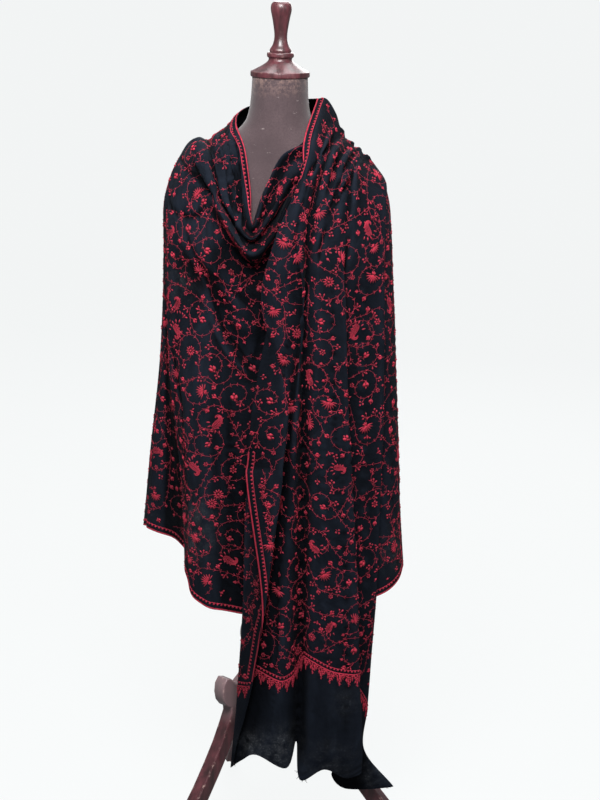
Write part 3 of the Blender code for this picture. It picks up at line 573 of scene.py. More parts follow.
# ---------------------------------------------------------------- materials
def wool_finish(cloth):
    """Fine matt twill with a soft nap, dusty where it is rubbed, painted shade in folds, highlight
    on ridges.
    """
    made, graph, at = new_material("wool", {
        "Sheen Weight": 0.012, "Sheen Roughness": 0.4, "Sheen Tint": (0.7, 0.76, 0.86, 1.0),
        "Specular IOR Level": 0.05})
    weave = graph.node("ShaderNodeUVMap", {"uv_map": "cloth"})
    warp = graph.node("ShaderNodeSeparateXYZ", {}, {"Vector": weave})
    weft = warp.output("Y")
    pitch = TAU / cloth.twill
    ribs = ((warp + weft * 0.8) * pitch).wave()
    yarns = (weft * (pitch * 2.3)).wave()
    nap = graph.noise(at, 420.0, 2.0)
    cloudy = graph.noise(at, 9.0, 4.0)
    slubs = graph.noise(graph.stretched(weave, (40.0, 900.0, 1.0)), 1.0, 2.0)
    crumple = graph.noise(graph.stretched(weave, (46.0, 17.0, 1.0)), 1.0, 3.0, 0.45)
    lint = graph.noise(at, 240.0, 5.0, 0.75).between(0.52, 0.74)
    dusty = graph.field("wear") * (0.18 + 0.82 * lint)
    dusty = dusty * graph.noise(at, 55.0, 3.0).between(0.35, 0.68)
    # Painted shade and highlight: the colour runs from deep in folds and under layers to light on
    # ridges.
    lit = graph.field("fold").between(-0.42, 0.85) * (0.7 + 0.3 * cloudy.between(0.3, 0.7))
    # Painted shade of small wrinkles: the noise that bumps the cloth also darkens its colour.
    lit = lit * (0.62 + 0.38 * crumple.between(0.36, 0.62))
    shade = graph.colour_mix(lit, cloth.deep, cloth.light)
    shade = graph.colour_mix(slubs.between(0.45, 0.75) * 0.35, shade, cloth.light)
    shade = graph.colour_mix(dusty * 0.8, shade, cloth.rubbed)
    relief = ribs * 0.35 + yarns * 0.15 + nap * 0.9 + slubs * 0.5
    soft = bump(graph, crumple, 0.0045, 0.55)
    return fed(made, {"Base Color": shade, "Roughness": 0.72 + 0.16 * nap,
                      "Normal": bump(graph, relief, 0.00022, 0.7, soft)})


def thread_finish(name, thread, dim=1.0):
    """Twisted crewel thread in chain stitch, its colour a little uneven, with painted shade in
    folds.
    """
    made, graph, at = new_material(name, {
        "Sheen Weight": 0.04, "Sheen Roughness": 0.4, "Sheen Tint": (1.0, 0.6, 0.62, 1.0),
        "Specular IOR Level": 0.12})
    light = [dim * part for part in thread.colour]
    deep = [dim * 0.5 * part for part in thread.colour]
    uneven = graph.noise(at, 160.0, 3.0)
    faded = graph.noise(at, 16.0, 3.0)
    loops = (graph.field("stitch") * (TAU / thread.stitch)).wave() * 0.5 + 0.5
    shade = graph.colour_mix(uneven.between(0.3, 0.7), deep, light)
    shade = graph.colour_mix(loops * 0.3, shade, deep)
    shade = graph.colour_mix(faded.between(0.5, 0.8) * 0.35, shade, [1.35 * p for p in light])
    # Painted shade: the thread darkens where the cloth under it lies in a fold or under a layer.
    painted_fold_shade = graph.field("fold").between(0.35, -0.75) * 0.72
    shade = graph.colour_mix(painted_fold_shade, shade, [0.3 * p for p in light])
    strands = graph.noise(graph.stretched(at, (1.0, 1.0, 0.45)), 1900.0, 2.0)
    return fed(made, {"Base Color": shade, "Roughness": 0.5 + 0.25 * uneven,
                      "Normal": bump(graph, loops * 0.7 + strands * 0.5, 0.0004, 0.8)})


def jersey_finish(body):
    """Stretched knit over padding, speckled and a little scuffed under the cap."""
    made, graph, at = new_material("jersey", {
        "Sheen Weight": 0.2, "Sheen Roughness": 0.5, "Specular IOR Level": 0.25})
    height = graph.height(at)
    speckle = graph.noise(at, 330.0, 3.0, 0.7)
    pale_specks = graph.noise(at, 150.0, 4.0, 0.8).between(0.66, 0.74)
    cloudy = graph.noise(at, 12.0, 4.0)
    lint = graph.noise(graph.stretched(at, (70.0, 70.0, 160.0)), 1.0, 3.0, 0.6).between(0.68, 0.76)
    scuffed = height.between(*SCUFFED_HEIGHTS) * graph.noise(at, 85.0, 5.0, 0.7).between(0.47, 0.6)
    shade = graph.colour_mix(cloudy.between(0.3, 0.7), body.deep, body.light)
    shade = graph.colour_mix(speckle.between(0.42, 0.66) * 0.65, shade, body.deep)
    shade = graph.colour_mix(pale_specks * 0.35 + lint * 0.3, shade, LINT_COLOUR)
    shade = graph.colour_mix(scuffed * 0.4, shade, body.scuffed)
    knit = (height * (TAU / KNITTED_ROW)).wave() * 0.3
    relief = knit + speckle + scuffed * 1.2 + lint
    return fed(made, {"Base Color": shade, "Roughness": 0.74 + 0.14 * speckle,
                      "Normal": bump(graph, relief, 0.00035, 0.6)})


def wood_finish(name, wood, upright=True):
    """Dark stained hardwood under a satin lacquer, its grain along the piece, rubbed at edges.

    Sawn pieces, which are not upright, turn paler over the height of their scrolls.
    """
    made, graph, at = new_material(name, {"Coat Roughness": 0.22, "Specular IOR Level": 0.4})
    grain = (70.0, 70.0, 4.5) if upright else (55.0, 55.0, 9.0)
    streaks = graph.noise(graph.stretched(at, grain), 1.0, 6.0, 0.62)
    pores = graph.noise(graph.stretched(at, (620.0, 620.0, 26.0)), 1.0, 2.0).between(0.58, 0.72)
    bands = graph.noise(at, 22.0, 3.0)
    edge = graph.field("wear")
    chipped = edge * graph.noise(at, 120.0, 4.0, 0.65).between(0.54, 0.66)
    shade = graph.colour_mix(streaks.between(0.32, 0.68), wood.deep, wood.light)
    shade = graph.colour_mix(bands.between(0.4, 0.75) * 0.4, shade, wood.deep)
    shade = graph.colour_mix(pores * 0.6, shade, [0.35 * part for part in wood.deep])
    shade = graph.colour_mix(edge * 0.25, shade, wood.light)
    if not upright:
        # Paler over the height of the legs' scrolls.
        faded = 0.02 + graph.height(at).between(*PALER_HEIGHTS) * 0.4
        shade = graph.colour_mix(faded * (0.8 + 0.2 * streaks), shade, wood.faded)
    shade = graph.colour_mix(chipped * 0.75, shade, wood.rubbed)
    relief = streaks * 0.6 - pores * 0.8 - chipped * 0.7
    return fed(made, {"Base Color": shade, "Roughness": 0.3 + 0.22 * streaks + 0.3 * chipped,
                      "Coat Weight": 0.42 - 0.35 * chipped,
                      "Normal": bump(graph, relief, 0.0003, 0.6)})


def plain_finish(name, colour, grip):
    """Matt paper lit from behind. Grip is the share of its brightness that takes shadows."""
    made, graph, at = new_material(name, {
        "Specular IOR Level": 0.0, "Emission Strength": 1.0 - grip,
        "Emission Color": (*colour, 1.0)})
    mottled = graph.noise(at, 3.0, 2.0)
    lit = [grip * 0.6 * part for part in colour]
    shade = graph.colour_mix(mottled, lit, [0.97 * part for part in lit])
    return fed(made, {"Base Color": shade, "Roughness": 0.9 + 0.02 * mottled})


# ---------------------------------------------------------------- curves and nets
def spline_weights(count, at):
    """Rows of weights that read a Catmull-Rom curve through count points at each place in at."""
    at = np.asarray(at, float)
    found = np.zeros((len(at), count))
    for row, place_on in enumerate(at):
        first = int(min(max(math.floor(place_on), 0), count - 2))
        t = place_on - first
        shares = (
            -0.5 * t + t**2 - 0.5 * t**3,
            1 - 2.5 * t**2 + 1.5 * t**3,
            0.5 * t + 2 * t**2 - 1.5 * t**3,
            -0.5 * t**2 + 0.5 * t**3,
        )
        for offset, share in zip((-1, 0, 1, 2), shares):
            index = first + offset
            if index < 0:
                found[row, 0] += 2 * share
                found[row, 1] -= share
            elif index >= count:
                found[row, count - 1] += 2 * share
                found[row, count - 2] -= share
            else:
                found[row, index] += share
    return found


def stations(steps):
    """Places along a net's side, with steps[i] intervals between station i and i + 1."""
    found = [0.0]
    for span, count in enumerate(steps):
        found += [span + (step + 1) / count for step in range(count)]
    return np.array(found)


def net_of(rows):
    """The table's points in metres, about the axis, as an array of rows x columns x 3."""
    return np.array(list(rows.values()), float) * MM + np.array(AXIS)


def surface(net, row_at, column_at):
    across = spline_weights(net.shape[0], row_at)
    along = spline_weights(net.shape[1], column_at)
    return np.einsum("ai,bj,ijk->abk", across, along, net)


def grid_normals(points):
    normal = np.cross(np.gradient(points, axis=0), np.gradient(points, axis=1))
    return normal / np.maximum(np.linalg.norm(normal, axis=2, keepdims=True), 1e-12)


def travelled(points, axis):
    """Distance over the cloth from the grid's first line, along rows or columns."""
    steps = np.linalg.norm(np.diff(points, axis=axis), axis=2)
    shape = list(points.shape[:2])
    shape[axis] = 1
    return np.concatenate([np.zeros(shape), np.cumsum(steps, axis=axis)], axis=axis)


def lifted_by_creases(points, normals, row_at, column_at, creases):
    """The grid with each crease pressed into it or raised from it, fading at its ends."""
    fallen = travelled(points, 0)
    run = travelled(points, 1)
    rows = np.arange(len(row_at))
    columns = np.arange(len(column_at))
    lift = np.zeros(points.shape[:2])
    for height, half_width, route in creases:
        stops = np.linspace(0, len(route) - 1, CREASE_SAMPLES)
        samples = spline_weights(len(route), stops) @ np.array(route)
        nearest = np.full(lift.shape, 1e9)
        share = np.zeros(lift.shape)
        for step, (row, column) in enumerate(samples):
            i = np.interp(row, row_at, rows)
            j = np.interp(column, column_at, columns)
            i0 = min(int(i), len(rows) - 2)
            j0 = min(int(j), len(columns) - 2)
            fall_here = fallen[i0] + (fallen[i0 + 1] - fallen[i0]) * (i - i0)
            run_here = run[:, j0] + (run[:, j0 + 1] - run[:, j0]) * (j - j0)
            away = (fallen - fall_here[None, :]) ** 2 + (run - run_here[:, None]) ** 2
            closer = away < nearest
            nearest[closer] = away[closer]
            share[closer] = step / (CREASE_SAMPLES - 1)
        fade = np.sin(np.pi * np.clip(share, 0.02, 0.98)) ** 0.6
        lift += height * MM * fade * np.exp(-nearest / (half_width * MM) ** 2)
    return points + normals * lift[:, :, None]


def softened(points, normals, depth, size):
    """The grid with the slow, uneven swell of limp cloth."""
    lift = np.array([
        [noise.noise(Vector((p[0] / size, p[1] / size, p[2] / (2.2 * size)))) for p in row]
        for row in points
    ])
    return points + normals * (lift * depth)[:, :, None]


def nearest_of(points):
    """A tree that finds the nearest of these points."""
    tree = kdtree.KDTree(len(points))
    for k, point in enumerate(points):
        tree.insert(point, k)
    tree.balance()
    return tree


class Sheet:
    """A fine grid of cloth, read and walked over anywhere between its points.

    A place is (i, j) in grid lines. Headings are angles on the cloth: 0 runs down it, and a
    quarter turn runs along it.
    """

    def __init__(self, points, normals, row_at, column_at, cloth):
        self.points = points
        self.normals = normals
        self.row_at = row_at
        self.column_at = column_at
        self.cloth = cloth
        self.down = np.gradient(points, axis=0)
        self.along = np.gradient(points, axis=1)
        self.fallen = travelled(points, 0)
        self.run = travelled(points, 1)
        # Painted shade and highlight: troughs get a darker colour and ridges a lighter one, by how
        # far each point stands out.
        near, wide = [share * (self.stands_out(rounds) / depth)
                      for rounds, depth, share in PAINTED_SHADE_READINGS]
        self.fold = np.clip(near + wide, -1, 1)

    def stands_out(self, rounds):
        """How far each point stands out from the cloth's mean surface round it."""
        mean = self.points
        for _ in range(rounds):
            for axis in (0, 1):
                pad = [(1, 1) if k == axis else (0, 0) for k in range(3)]
                wider = np.pad(mean, pad, mode="reflect", reflect_type="odd")
                low = np.take(wider, range(mean.shape[axis]), axis)
                high = np.take(wider, range(2, mean.shape[axis] + 2), axis)
                mean = mean * 0.5 + (low + high) * 0.25
        return np.sum((self.points - mean) * self.normals, axis=2)

    def darken_beside(self, cover, reach, within):
        """Paints shadow into the cloth's painted shade close to the points of a layer above, or of
        a hollow.
        """
        tree = nearest_of(cover)
        away = np.array([[tree.find(point)[2] for point in row] for row in self.points])
        shade = np.exp(-((away / reach) ** 2)) * within
        self.fold = np.clip(self.fold * (1 - shade) - shade, -1, 1)

    def read(self, field, at):
        i = np.clip(at[..., 0], 0, field.shape[0] - 1.000001)
        j = np.clip(at[..., 1], 0, field.shape[1] - 1.000001)
        i0 = i.astype(int)
        j0 = j.astype(int)
        fi = i - i0
        fj = j - j0
        if field.ndim == 3:
            fi = fi[..., None]
            fj = fj[..., None]
        upper = field[i0, j0] * (1 - fj) + field[i0, j0 + 1] * fj
        lower = field[i0 + 1, j0] * (1 - fj) + field[i0 + 1, j0 + 1] * fj
        return upper * (1 - fi) + lower * fi

    def on_cloth(self, at):
        inside = (at[..., 0] >= 0) & (at[..., 0] <= self.points.shape[0] - 1)
        inside &= (at[..., 1] >= 0) & (at[..., 1] <= self.points.shape[1] - 1)
        return inside & (self.read(self.cloth, at) > 0.99)

    def walk(self, at, heading, distance, steps=1):
        """Places reached by going straight over the cloth from at, which may be one or many."""
        at = np.asarray(at, float)
        shape = np.broadcast(at[..., 0], heading, distance).shape
        at = np.array(np.broadcast_to(at, (*shape, 2)))
        part = np.asarray(distance) / steps
        for _ in range(steps):
            down = self.read(self.down, at)
            along = self.read(self.along, at)
            a = np.maximum(np.linalg.norm(down, axis=-1), 2e-4)
            b = np.sum(down * along, axis=-1) / a
            c = np.sqrt(np.maximum(np.sum(along * along, axis=-1) - b * b, 4e-8))
            dj = np.sin(heading) * part / c
            di = (np.cos(heading) * part - dj * b) / a
            at[..., 0] += np.clip(di, -4, 4)
            at[..., 1] += np.clip(dj, -4, 4)
        return at

    def frame_at(self, at, heading):
        """Ahead and outward unit vectors at each place."""
        down = self.read(self.down, at)
        down /= np.maximum(np.linalg.norm(down, axis=-1, keepdims=True), 1e-9)
        up = self.read(self.normals, at)
        up /= np.maximum(np.linalg.norm(up, axis=-1, keepdims=True), 1e-9)
        along = self.read(self.along, at)
        side = along - down * np.sum(down * along, axis=-1, keepdims=True)
        side /= np.maximum(np.linalg.norm(side, axis=-1, keepdims=True), 1e-9)
        turn = np.asarray(heading)[..., None]
        return down * np.cos(turn) + side * np.sin(turn), up

    def place(self, at, lift):
        return self.read(self.points, at) + self.frame_at(at, 0.0)[1] * lift

    def net_place(self, row, column):
        i = np.interp(row, self.row_at, np.arange(len(self.row_at)))
        j = np.interp(column, self.column_at, np.arange(len(self.column_at)))
        return np.stack([i, j], axis=-1)


def wrap_sheet(depth):
    """The cloth round the body, from under the front fall to the left arm's hidden edge."""
    row_at = stations(BODY_ROW_STEPS)
    body_at = stations(BODY_COLUMN_STEPS)
    body = surface(net_of(BODY_ROWS), row_at, body_at)
    last_row = len(BODY_ROWS) - 1
    lift = np.zeros(body.shape[:2])
    for column_top, column_hem, first_row, half_width, height in HANGING_FOLDS:
        grown = np.clip((row_at - first_row) / (last_row - first_row), 0, 1)
        centre = column_top + (column_hem - column_top) * grown
        away = (body_at[None, :] - centre[:, None]) / half_width
        lift += height * MM * (grown**0.7)[:, None] * np.exp(-(away**2))
    body = body + grid_normals(body) * lift[:, :, None]
    top = int(np.searchsorted(row_at, ARM_FIRST_ROW - 1e-6))
    rows_down = row_at[top:] - ARM_FIRST_ROW + 1
    arm_at = stations(ARM_COLUMN_STEPS)
    arm = surface(net_of(ARM_ROWS), rows_down, arm_at)
    count = arm.shape[1] - 1
    step = body[:, -1] - body[:, -2]
    spare = body[:, -1:] + step[:, None, :] * np.arange(1, count + 1)[None, :, None]
    parted = (body[top:, -1] - arm[:, 0])[:, None, :]
    spare[top:] = arm[:, 1:] + parted * np.linspace(1, 0, count + 1)[None, 1:, None]
    points = np.concatenate([body, spare], axis=1)
    column_at = np.concatenate([body_at, body_at[-1] + arm_at[1:]])
    cloth = np.ones(points.shape[:2])
    cloth[:top, body.shape[1]:] = 0
    outward = -grid_normals(points)
    points = lifted_by_creases(points, outward, row_at, column_at, BODY_CREASES)
    points = softened(points, outward, depth, WRAP_SWELL)
    return Sheet(points, -grid_normals(points), row_at, column_at, cloth)


def fall_sheet(wrap, depth):
    """The long end that falls down the front from the wearer's left shoulder."""
    shoulder = wrap.column_at[int(np.searchsorted(wrap.column_at, len(BODY_COLUMN_STEPS) - 1e-6))]

    def crest_at(rows):
        return wrap.net_place(rows, np.full(len(rows), shoulder))

    column_at = stations(FALL_COLUMN_STEPS)
    row_at = stations(FALL_ROW_STEPS)
    columns = np.arange(len(CREST_SHARE))
    crest = crest_at(spline_weights(len(CREST_SHARE), columns) @ CREST_SHARE)
    net = np.concatenate([wrap.read(wrap.points, crest)[None], net_of(FALL_ROWS)])
    points = surface(net, row_at, column_at)
    meeting = crest_at(np.interp(column_at, columns, CREST_SHARE))
    points[0] = wrap.read(wrap.points, meeting)
    outward = grid_normals(points)
    away = np.clip(row_at / 0.6, 0, 1)[:, None, None]
    creased = lifted_by_creases(points, outward, row_at, column_at, FALL_CREASES)
    creased = softened(creased, outward, depth, FALL_SWELL)
    points = points + (creased - points) * away
    normals = grid_normals(points)
    shared = wrap.read(wrap.normals, meeting)
    near = np.clip(1 - row_at / 0.25, 0, 1)[:, None, None] ** 2
    normals = normals * (1 - near) + shared[None] * near
    normals /= np.linalg.norm(normals, axis=2, keepdims=True)
    return Sheet(points, normals, row_at, column_at, np.ones(points.shape[:2]))


# ---------------------------------------------------------------- making pieces
def link(name, data, material=None):
    made = bpy.data.objects.new(name, data)
    bpy.context.scene.collection.objects.link(made)
    if material:
        data.materials.clear()
        data.materials.append(material)
    return made


def add_field(mesh, name, values):
    """Numbers or vectors that the mesh carries at its points."""
    values = np.reshape(values, (len(mesh.vertices), -1))
    vectors = values.shape[1] == 3
    made = mesh.attributes.new(name, "FLOAT_VECTOR" if vectors else "FLOAT", "POINT")
    made.data.foreach_set("vector" if vectors else "value", values.ravel())


def new_mesh(name, points, edges=(), faces=(), **fields):
    mesh = bpy.data.meshes.new(name)
    mesh.from_pydata(np.array(points, float).tolist(), edges, faces)
    for field, values in fields.items():
        add_field(mesh, field, values)
    return mesh


def smoothed(mesh, sharp):
    """Shades the mesh smooth, except at edges that turn by more than so many degrees."""
    mesh.shade_smooth()
    mesh.set_sharp_from_angle(angle=math.radians(sharp))


def wear_of(sheet, patches):
    """How rubbed the cloth is at each of its points, from 0 to 1."""
    found = np.zeros(sheet.points.shape[:2])
    for row, column, radius, strength in patches:
        centre = sheet.read(sheet.points, sheet.net_place(row, column))
        away = np.sum((sheet.points - centre) ** 2, axis=2) / (radius * MM) ** 2
        found += strength * np.exp(-away)
    return np.clip(found, 0, 1)


def cloth_piece(name, sheet, wall, material, patches):
    """A closed thin shell about the sheet, its weave laid out in metres of cloth."""
    rows, columns, _ = sheet.points.shape
    count = rows * columns
    index = np.arange(count).reshape(rows, columns)
    whole = np.minimum.reduce([
        sheet.cloth[:-1, :-1], sheet.cloth[1:, :-1], sheet.cloth[:-1, 1:], sheet.cloth[1:, 1:]])
    quads = np.stack([index[:-1, :-1], index[1:, :-1], index[1:, 1:], index[:-1, 1:]], axis=-1)
    quads = quads[whole > 0.5]
    towards = np.cross(sheet.down, sheet.along)
    if np.sum(towards * sheet.normals) < 0:
        quads = quads[:, ::-1]
    edges = np.concatenate([quads[:, [k, (k + 1) % 4]] for k in range(4)])
    keys = edges[:, 0] * count + edges[:, 1]
    rim = edges[~np.isin(keys, edges[:, 1] * count + edges[:, 0])]
    wall_faces = np.stack([rim[:, 1], rim[:, 0], rim[:, 0] + count, rim[:, 1] + count], axis=-1)
    faces = np.concatenate([quads, quads[:, ::-1] + count, wall_faces])
    used, faces_at = np.unique(faces, return_inverse=True)

    def both(outer, inner):
        """Values of the shell's outer and inner side, at the points in use."""
        return np.concatenate([outer.reshape(count, -1), inner.reshape(count, -1)])[used]

    half = sheet.normals * wall / 2
    wear = wear_of(sheet, patches)
    # The shell carries the painted shade of its folds; its inner side carries the opposite.
    mesh = new_mesh(name, both(sheet.points + half, sheet.points - half),
                    faces=faces_at.reshape(faces.shape).tolist(), wear=both(wear, wear),
                    fold=both(sheet.fold, -sheet.fold))
    lengths = np.stack([sheet.run, sheet.fallen], axis=-1)
    corner = np.zeros(len(mesh.loops), int)
    mesh.loops.foreach_get("vertex_index", corner)
    unrolled = both(lengths, lengths)[corner]
    mesh.uv_layers.new(name="cloth").data.foreach_set("uv", unrolled.ravel())
    smoothed(mesh, sharp=75)
    return link(name, mesh, material)


def seat(piece, slot, *nodes):
    """The piece rides on the body and stands for these nodes, which it hides. The slot is not used.
    """
    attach(piece, "root")
    if nodes:
        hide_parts(*nodes)
    return piece


# ---------------------------------------------------------------- needlework
class Needlework:
    """Stitched lines and petals on one sheet, gathered first and laid on the cloth together."""

    def __init__(self, sheet, threads, seed, stop_row=None):
        self.sheet = sheet
        self.threads = threads
        self.chance = np.random.default_rng(seed)
        self.stop_row = stop_row
        self.lines = []
        self.petals = []
        self.leaflets = []
        self.blooms = []

    def line(self, at, width):
        """A stitched line through these places, broken where it leaves the cloth."""
        at = np.asarray(at, float)
        for run in runs_of(self.sheet.on_cloth(at)):
            if run.stop - run.start >= 2:
                self.lines.append((at[run], width))

    def drawn(self, centre, heading, shape, width):
        """A line through (forward, sideways) points in metres, set about a place."""
        shape = np.array(shape, float)
        turn = heading + np.arctan2(shape[:, 1], shape[:, 0])
        self.line(self.sheet.walk(centre, turn, np.hypot(shape[:, 0], shape[:, 1]), 4), width)

    def petal(self, centre, heading, reach, turn, length, width):
        """A petal whose middle is reach away from a place, lying along turn."""
        self.petals.append((*centre, heading, reach, turn, length, width))

    def rosette(self, centre, size):
        start = self.chance.uniform(0, TAU)
        for k in range(6):
            turn = start + TAU * k / 6
            self.petal(centre, turn, size * 0.34, turn, size * 0.34, size * 0.26)
        self.petal(centre, 0.0, 0.0, start, size * 0.2, size * 0.18)

    def heart(self, centre, heading, size):
        for side in (-1, 1):
            self.petal(centre, heading + side * 1.45, size * 0.24, heading + side * 0.35,
                       size * 0.76, size * 0.5)
        self.petal(centre, heading, size * 0.44, heading, size * 0.44, size * 0.3)
        self.petal(centre, heading + math.pi, size * 0.34, heading, size * 0.26, size * 0.36)

    def lotus(self, centre, heading, size):
        """A flower seen from the side: two fans of petals over a small cup."""
        for count, spread, reach, length in ((9, 1.5, 0.37, 0.5), (5, 0.9, 0.2, 0.42)):
            for k in range(count):
                turn = heading + spread * (2 * k / (count - 1) - 1)
                tall = length * size * self.chance.uniform(0.88, 1.1)
                self.petal(centre, turn, reach * size, turn, tall, size * 0.082)
        for side in (-1, 0, 1):
            turn = heading + math.pi + side * 0.7
            self.petal(centre, turn, size * 0.14, turn, size * 0.26, size * 0.14)

    def daisy(self, centre, size):
        start = self.chance.uniform(0, TAU)
        for k in range(11):
            turn = start + TAU * k / 11
            reach = size * (0.34 if k % 2 else 0.31)
            self.petal(centre, turn, reach, turn, size * 0.36, size * 0.13)
        self.petal(centre, 0.0, 0.0, start, size * 0.26, size * 0.24)

    def paisley(self, centre, heading, size, hand):
        """A comma with a hooked tip, filled with rows of stitches, on a leafy foot."""
        t = np.linspace(0, 1, 20)
        bend = hand * 3.5 * np.clip(t - 0.42, 0, 1) ** 1.5 / 0.44
        ahead = np.stack([np.cos(bend), np.sin(bend)], axis=-1)
        aside = np.stack([-np.sin(bend), np.cos(bend)], axis=-1)
        spine = np.cumsum(ahead, axis=0) * (1.16 * size / 19) - (0.5 * size, 0)
        fat = np.sin(np.pi * (0.05 + 0.95 * t) ** 0.6) ** 0.9 * (1 - 0.3 * t)
        half = (size * (0.175 * fat + 0.012))[:, None]
        for share in (1.0, 0.62, 0.24):
            keep = slice(int(3 * (1 - share)), 20 - int(6 * (1 - share)))
            left = (spine + aside * half * share)[keep]
            right = (spine - aside * half * share)[keep]
            ring = np.concatenate([left, right[::-1], left[:1]])
            self.drawn(centre, heading, ring, size * 0.038)
        for k in range(5):
            turn = heading + math.pi + 0.42 * (k - 2)
            self.petal(centre, turn, size * 0.6, turn, size * 0.24, size * 0.08)
        for k in (3, 6, 9, 12):
            place = spine[k] - hand * aside[k] * (half[k] + 0.05 * size)
            turn = math.atan2(place[1], place[0])
            self.petal(centre, heading + turn, math.hypot(*place), heading + bend[k] - hand,
                       size * 0.13, size * 0.065)

    def vines(self, placed):
        """Scrolling vines all over the sheet, each branching off its neighbour's outer turn."""
        cells, ups, kinds = self.cells(placed)
        shares = np.array([share for share, _, _ in MOTIFS.values()])
        scrolls = []
        for k, centre in enumerate(cells):
            kind = kinds[k] or str(self.chance.choice(list(MOTIFS), p=shares / shares.sum()))
            parent = scrolls[ups[k]] if ups[k] < k else None
            scrolls.append(self.scroll(centre, kind, parent))
        for scroll in scrolls:
            scroll.fine = self.clear(scroll.at)
            for run in runs_of(scroll.fine):
                if run.stop - run.start > 5:
                    self.line(scroll.at[run], self.threads.vine)
                    self.thorns(scroll.at[run], scroll.heading[run])
        self.taken = np.concatenate([self.sheet.read(self.sheet.points, s.at) for s in scrolls])
        for scroll in scrolls:
            if scroll.fine[-6:].all():
                self.ending(scroll)
        for scroll in scrolls:
            self.sprigs(scroll)
        self.fillers()

    def fillers(self):
        """Small sprigs of their own on ground that the vines have left open."""
        sheet = self.sheet
        rows, columns = sheet.points.shape[:2]
        busy = nearest_of([*self.taken, *self.blooms])
        added = []
        for at in self.chance.uniform((0, 0), (rows - 1, columns - 1), (FILLER_TRIES, 2)):
            spot = sheet.read(sheet.points, at)
            if busy.find(spot)[2] < FILLER_GROUND or not self.clear(at):
                continue
            near = [spot - other for other in added]
            if near and np.min(np.linalg.norm(near, axis=1)) < 1.25 * FILLER_GROUND:
                continue
            added.append(spot)
            kind = (self.berries, self.leaf, self.twig, self.bud)[int(self.chance.integers(4))]
            kind(at, self.chance.uniform(0, TAU), 4.5 * MM)

    def scroll(self, centre, kind, parent):
        """A vine from its parent's outer turn, winding in round this centre."""
        chance = self.chance
        spacing = self.threads.spacing
        _, turns, inner = MOTIFS[kind]
        turns *= chance.uniform(0.9, 1.08)
        inner *= MM
        radius = spacing * chance.uniform(0.32, 0.41)
        hand = 1
        enter = chance.uniform(0, TAU)
        if parent is not None:
            hand = -parent.hand if chance.uniform() < 0.72 else parent.hand
            away = self.apart(parent.outer, centre)
            reach = np.hypot(away[:, 0], away[:, 1])
            bearing = np.arctan2(away[:, 1], away[:, 0])
            aim = bearing - hand * np.arcsin(np.clip(radius / np.maximum(reach, MM), 0, 1))
            off = np.abs((aim - parent.outer_heading + math.pi) % TAU - math.pi)
            off += np.where(reach < 1.15 * radius, 9.0, reach / (3 * spacing))
            leave = int(np.argmin(off))
            enter = aim[leave] - hand * math.pi / 2
        wound = TAU * turns
        count = int(wound * (radius + inner) / 2 / STITCHED_STEP) + 4
        share = np.linspace(0, 1, count)
        waves = chance.uniform(1.6, 2.9)
        wobble = 1 + 0.09 * np.sin(waves * share * wound + chance.uniform(0, TAU))
        reached = (inner + (radius - inner) * (1 - share**1.9)) * wobble
        angle = enter + hand * wound * share
        slope = -np.gradient(reached) / np.gradient(wound * share)
        heading = angle + hand * (math.pi / 2 + np.arctan2(slope, reached))
        at = self.sheet.walk(centre, angle, reached, 6)
        ring = int(count * min(0.85 / turns, 1.0))
        outer, outer_heading = at[:ring], heading[:ring]
        if parent is not None and off[leave] < 9:
            first = parent.outer[leave]
            turn = parent.outer_heading[leave]
            span = math.sqrt(max(reach[leave] ** 2 - radius**2, MM**2))
            leaving = (self.sheet.walk(first, turn, MM) - first) / MM * span
            landing = (self.sheet.walk(at[0], heading[0], MM) - at[0]) / MM * span
            u = np.linspace(0, 1, max(int(span / STITCHED_STEP), 3))[:-1, None]
            stem = (2 * u**3 - 3 * u**2 + 1) * first + (u**3 - 2 * u**2 + u) * leaving
            stem = stem + (3 * u**2 - 2 * u**3) * at[0] + (u**3 - u**2) * landing
            swing = (heading[0] - turn + math.pi) % TAU - math.pi
            at = np.concatenate([stem, at])
            heading = np.concatenate([turn + swing * u[:, 0], heading])
        return SimpleNamespace(kind=kind, hand=hand, at=at, heading=heading, centre=centre,
                               inner=inner, outer=outer, outer_heading=outer_heading)

    def ending(self, scroll):
        """What a vine closes on."""
        at, turn, kind = scroll.at[-1], scroll.heading[-1], scroll.kind
        inwards = turn + scroll.hand * 0.55
        size = self.chance.uniform(0.9, 1.12) * MM
        if kind == "heart":
            self.heart(self.sheet.walk(at, inwards, 5.5 * MM), inwards, 13.0 * size)
        elif kind == "rosette":
            self.rosette(self.sheet.walk(at, inwards, 6.5 * MM), 14.0 * size)
        elif kind == "daisy":
            self.daisy(self.sheet.walk(at, inwards, 9.0 * MM), 20.0 * size)
        elif kind == "lotus":
            self.lotus(self.sheet.walk(at, inwards, 5.0 * MM), inwards, 25.0 * size)
        else:
            turn = inwards + scroll.hand * 0.35
            place = self.sheet.walk(at, turn, 21.0 * size, 3)
            self.paisley(place, turn, 31.0 * size, scroll.hand)
        self.blooms.append(self.sheet.read(self.sheet.points, scroll.centre))

    def thorns(self, path, headings):
        """Paired barbs along a vine, with a small knot at every third pair."""
        for count, k in enumerate(range(3, len(path) - 2, 5)):
            size = self.chance.uniform(4.2, 5.6) * MM
            for side in (-1, 1):
                turn = headings[k] + side * self.chance.uniform(0.7, 1.1)
                self.leaflets.append((*path[k], turn, size * 0.5, turn, size, size * 0.19))
            if count % 3 == 0:
                self.petal(path[k], 0.0, 0.0, headings[k], 2.8 * MM, 2.0 * MM)

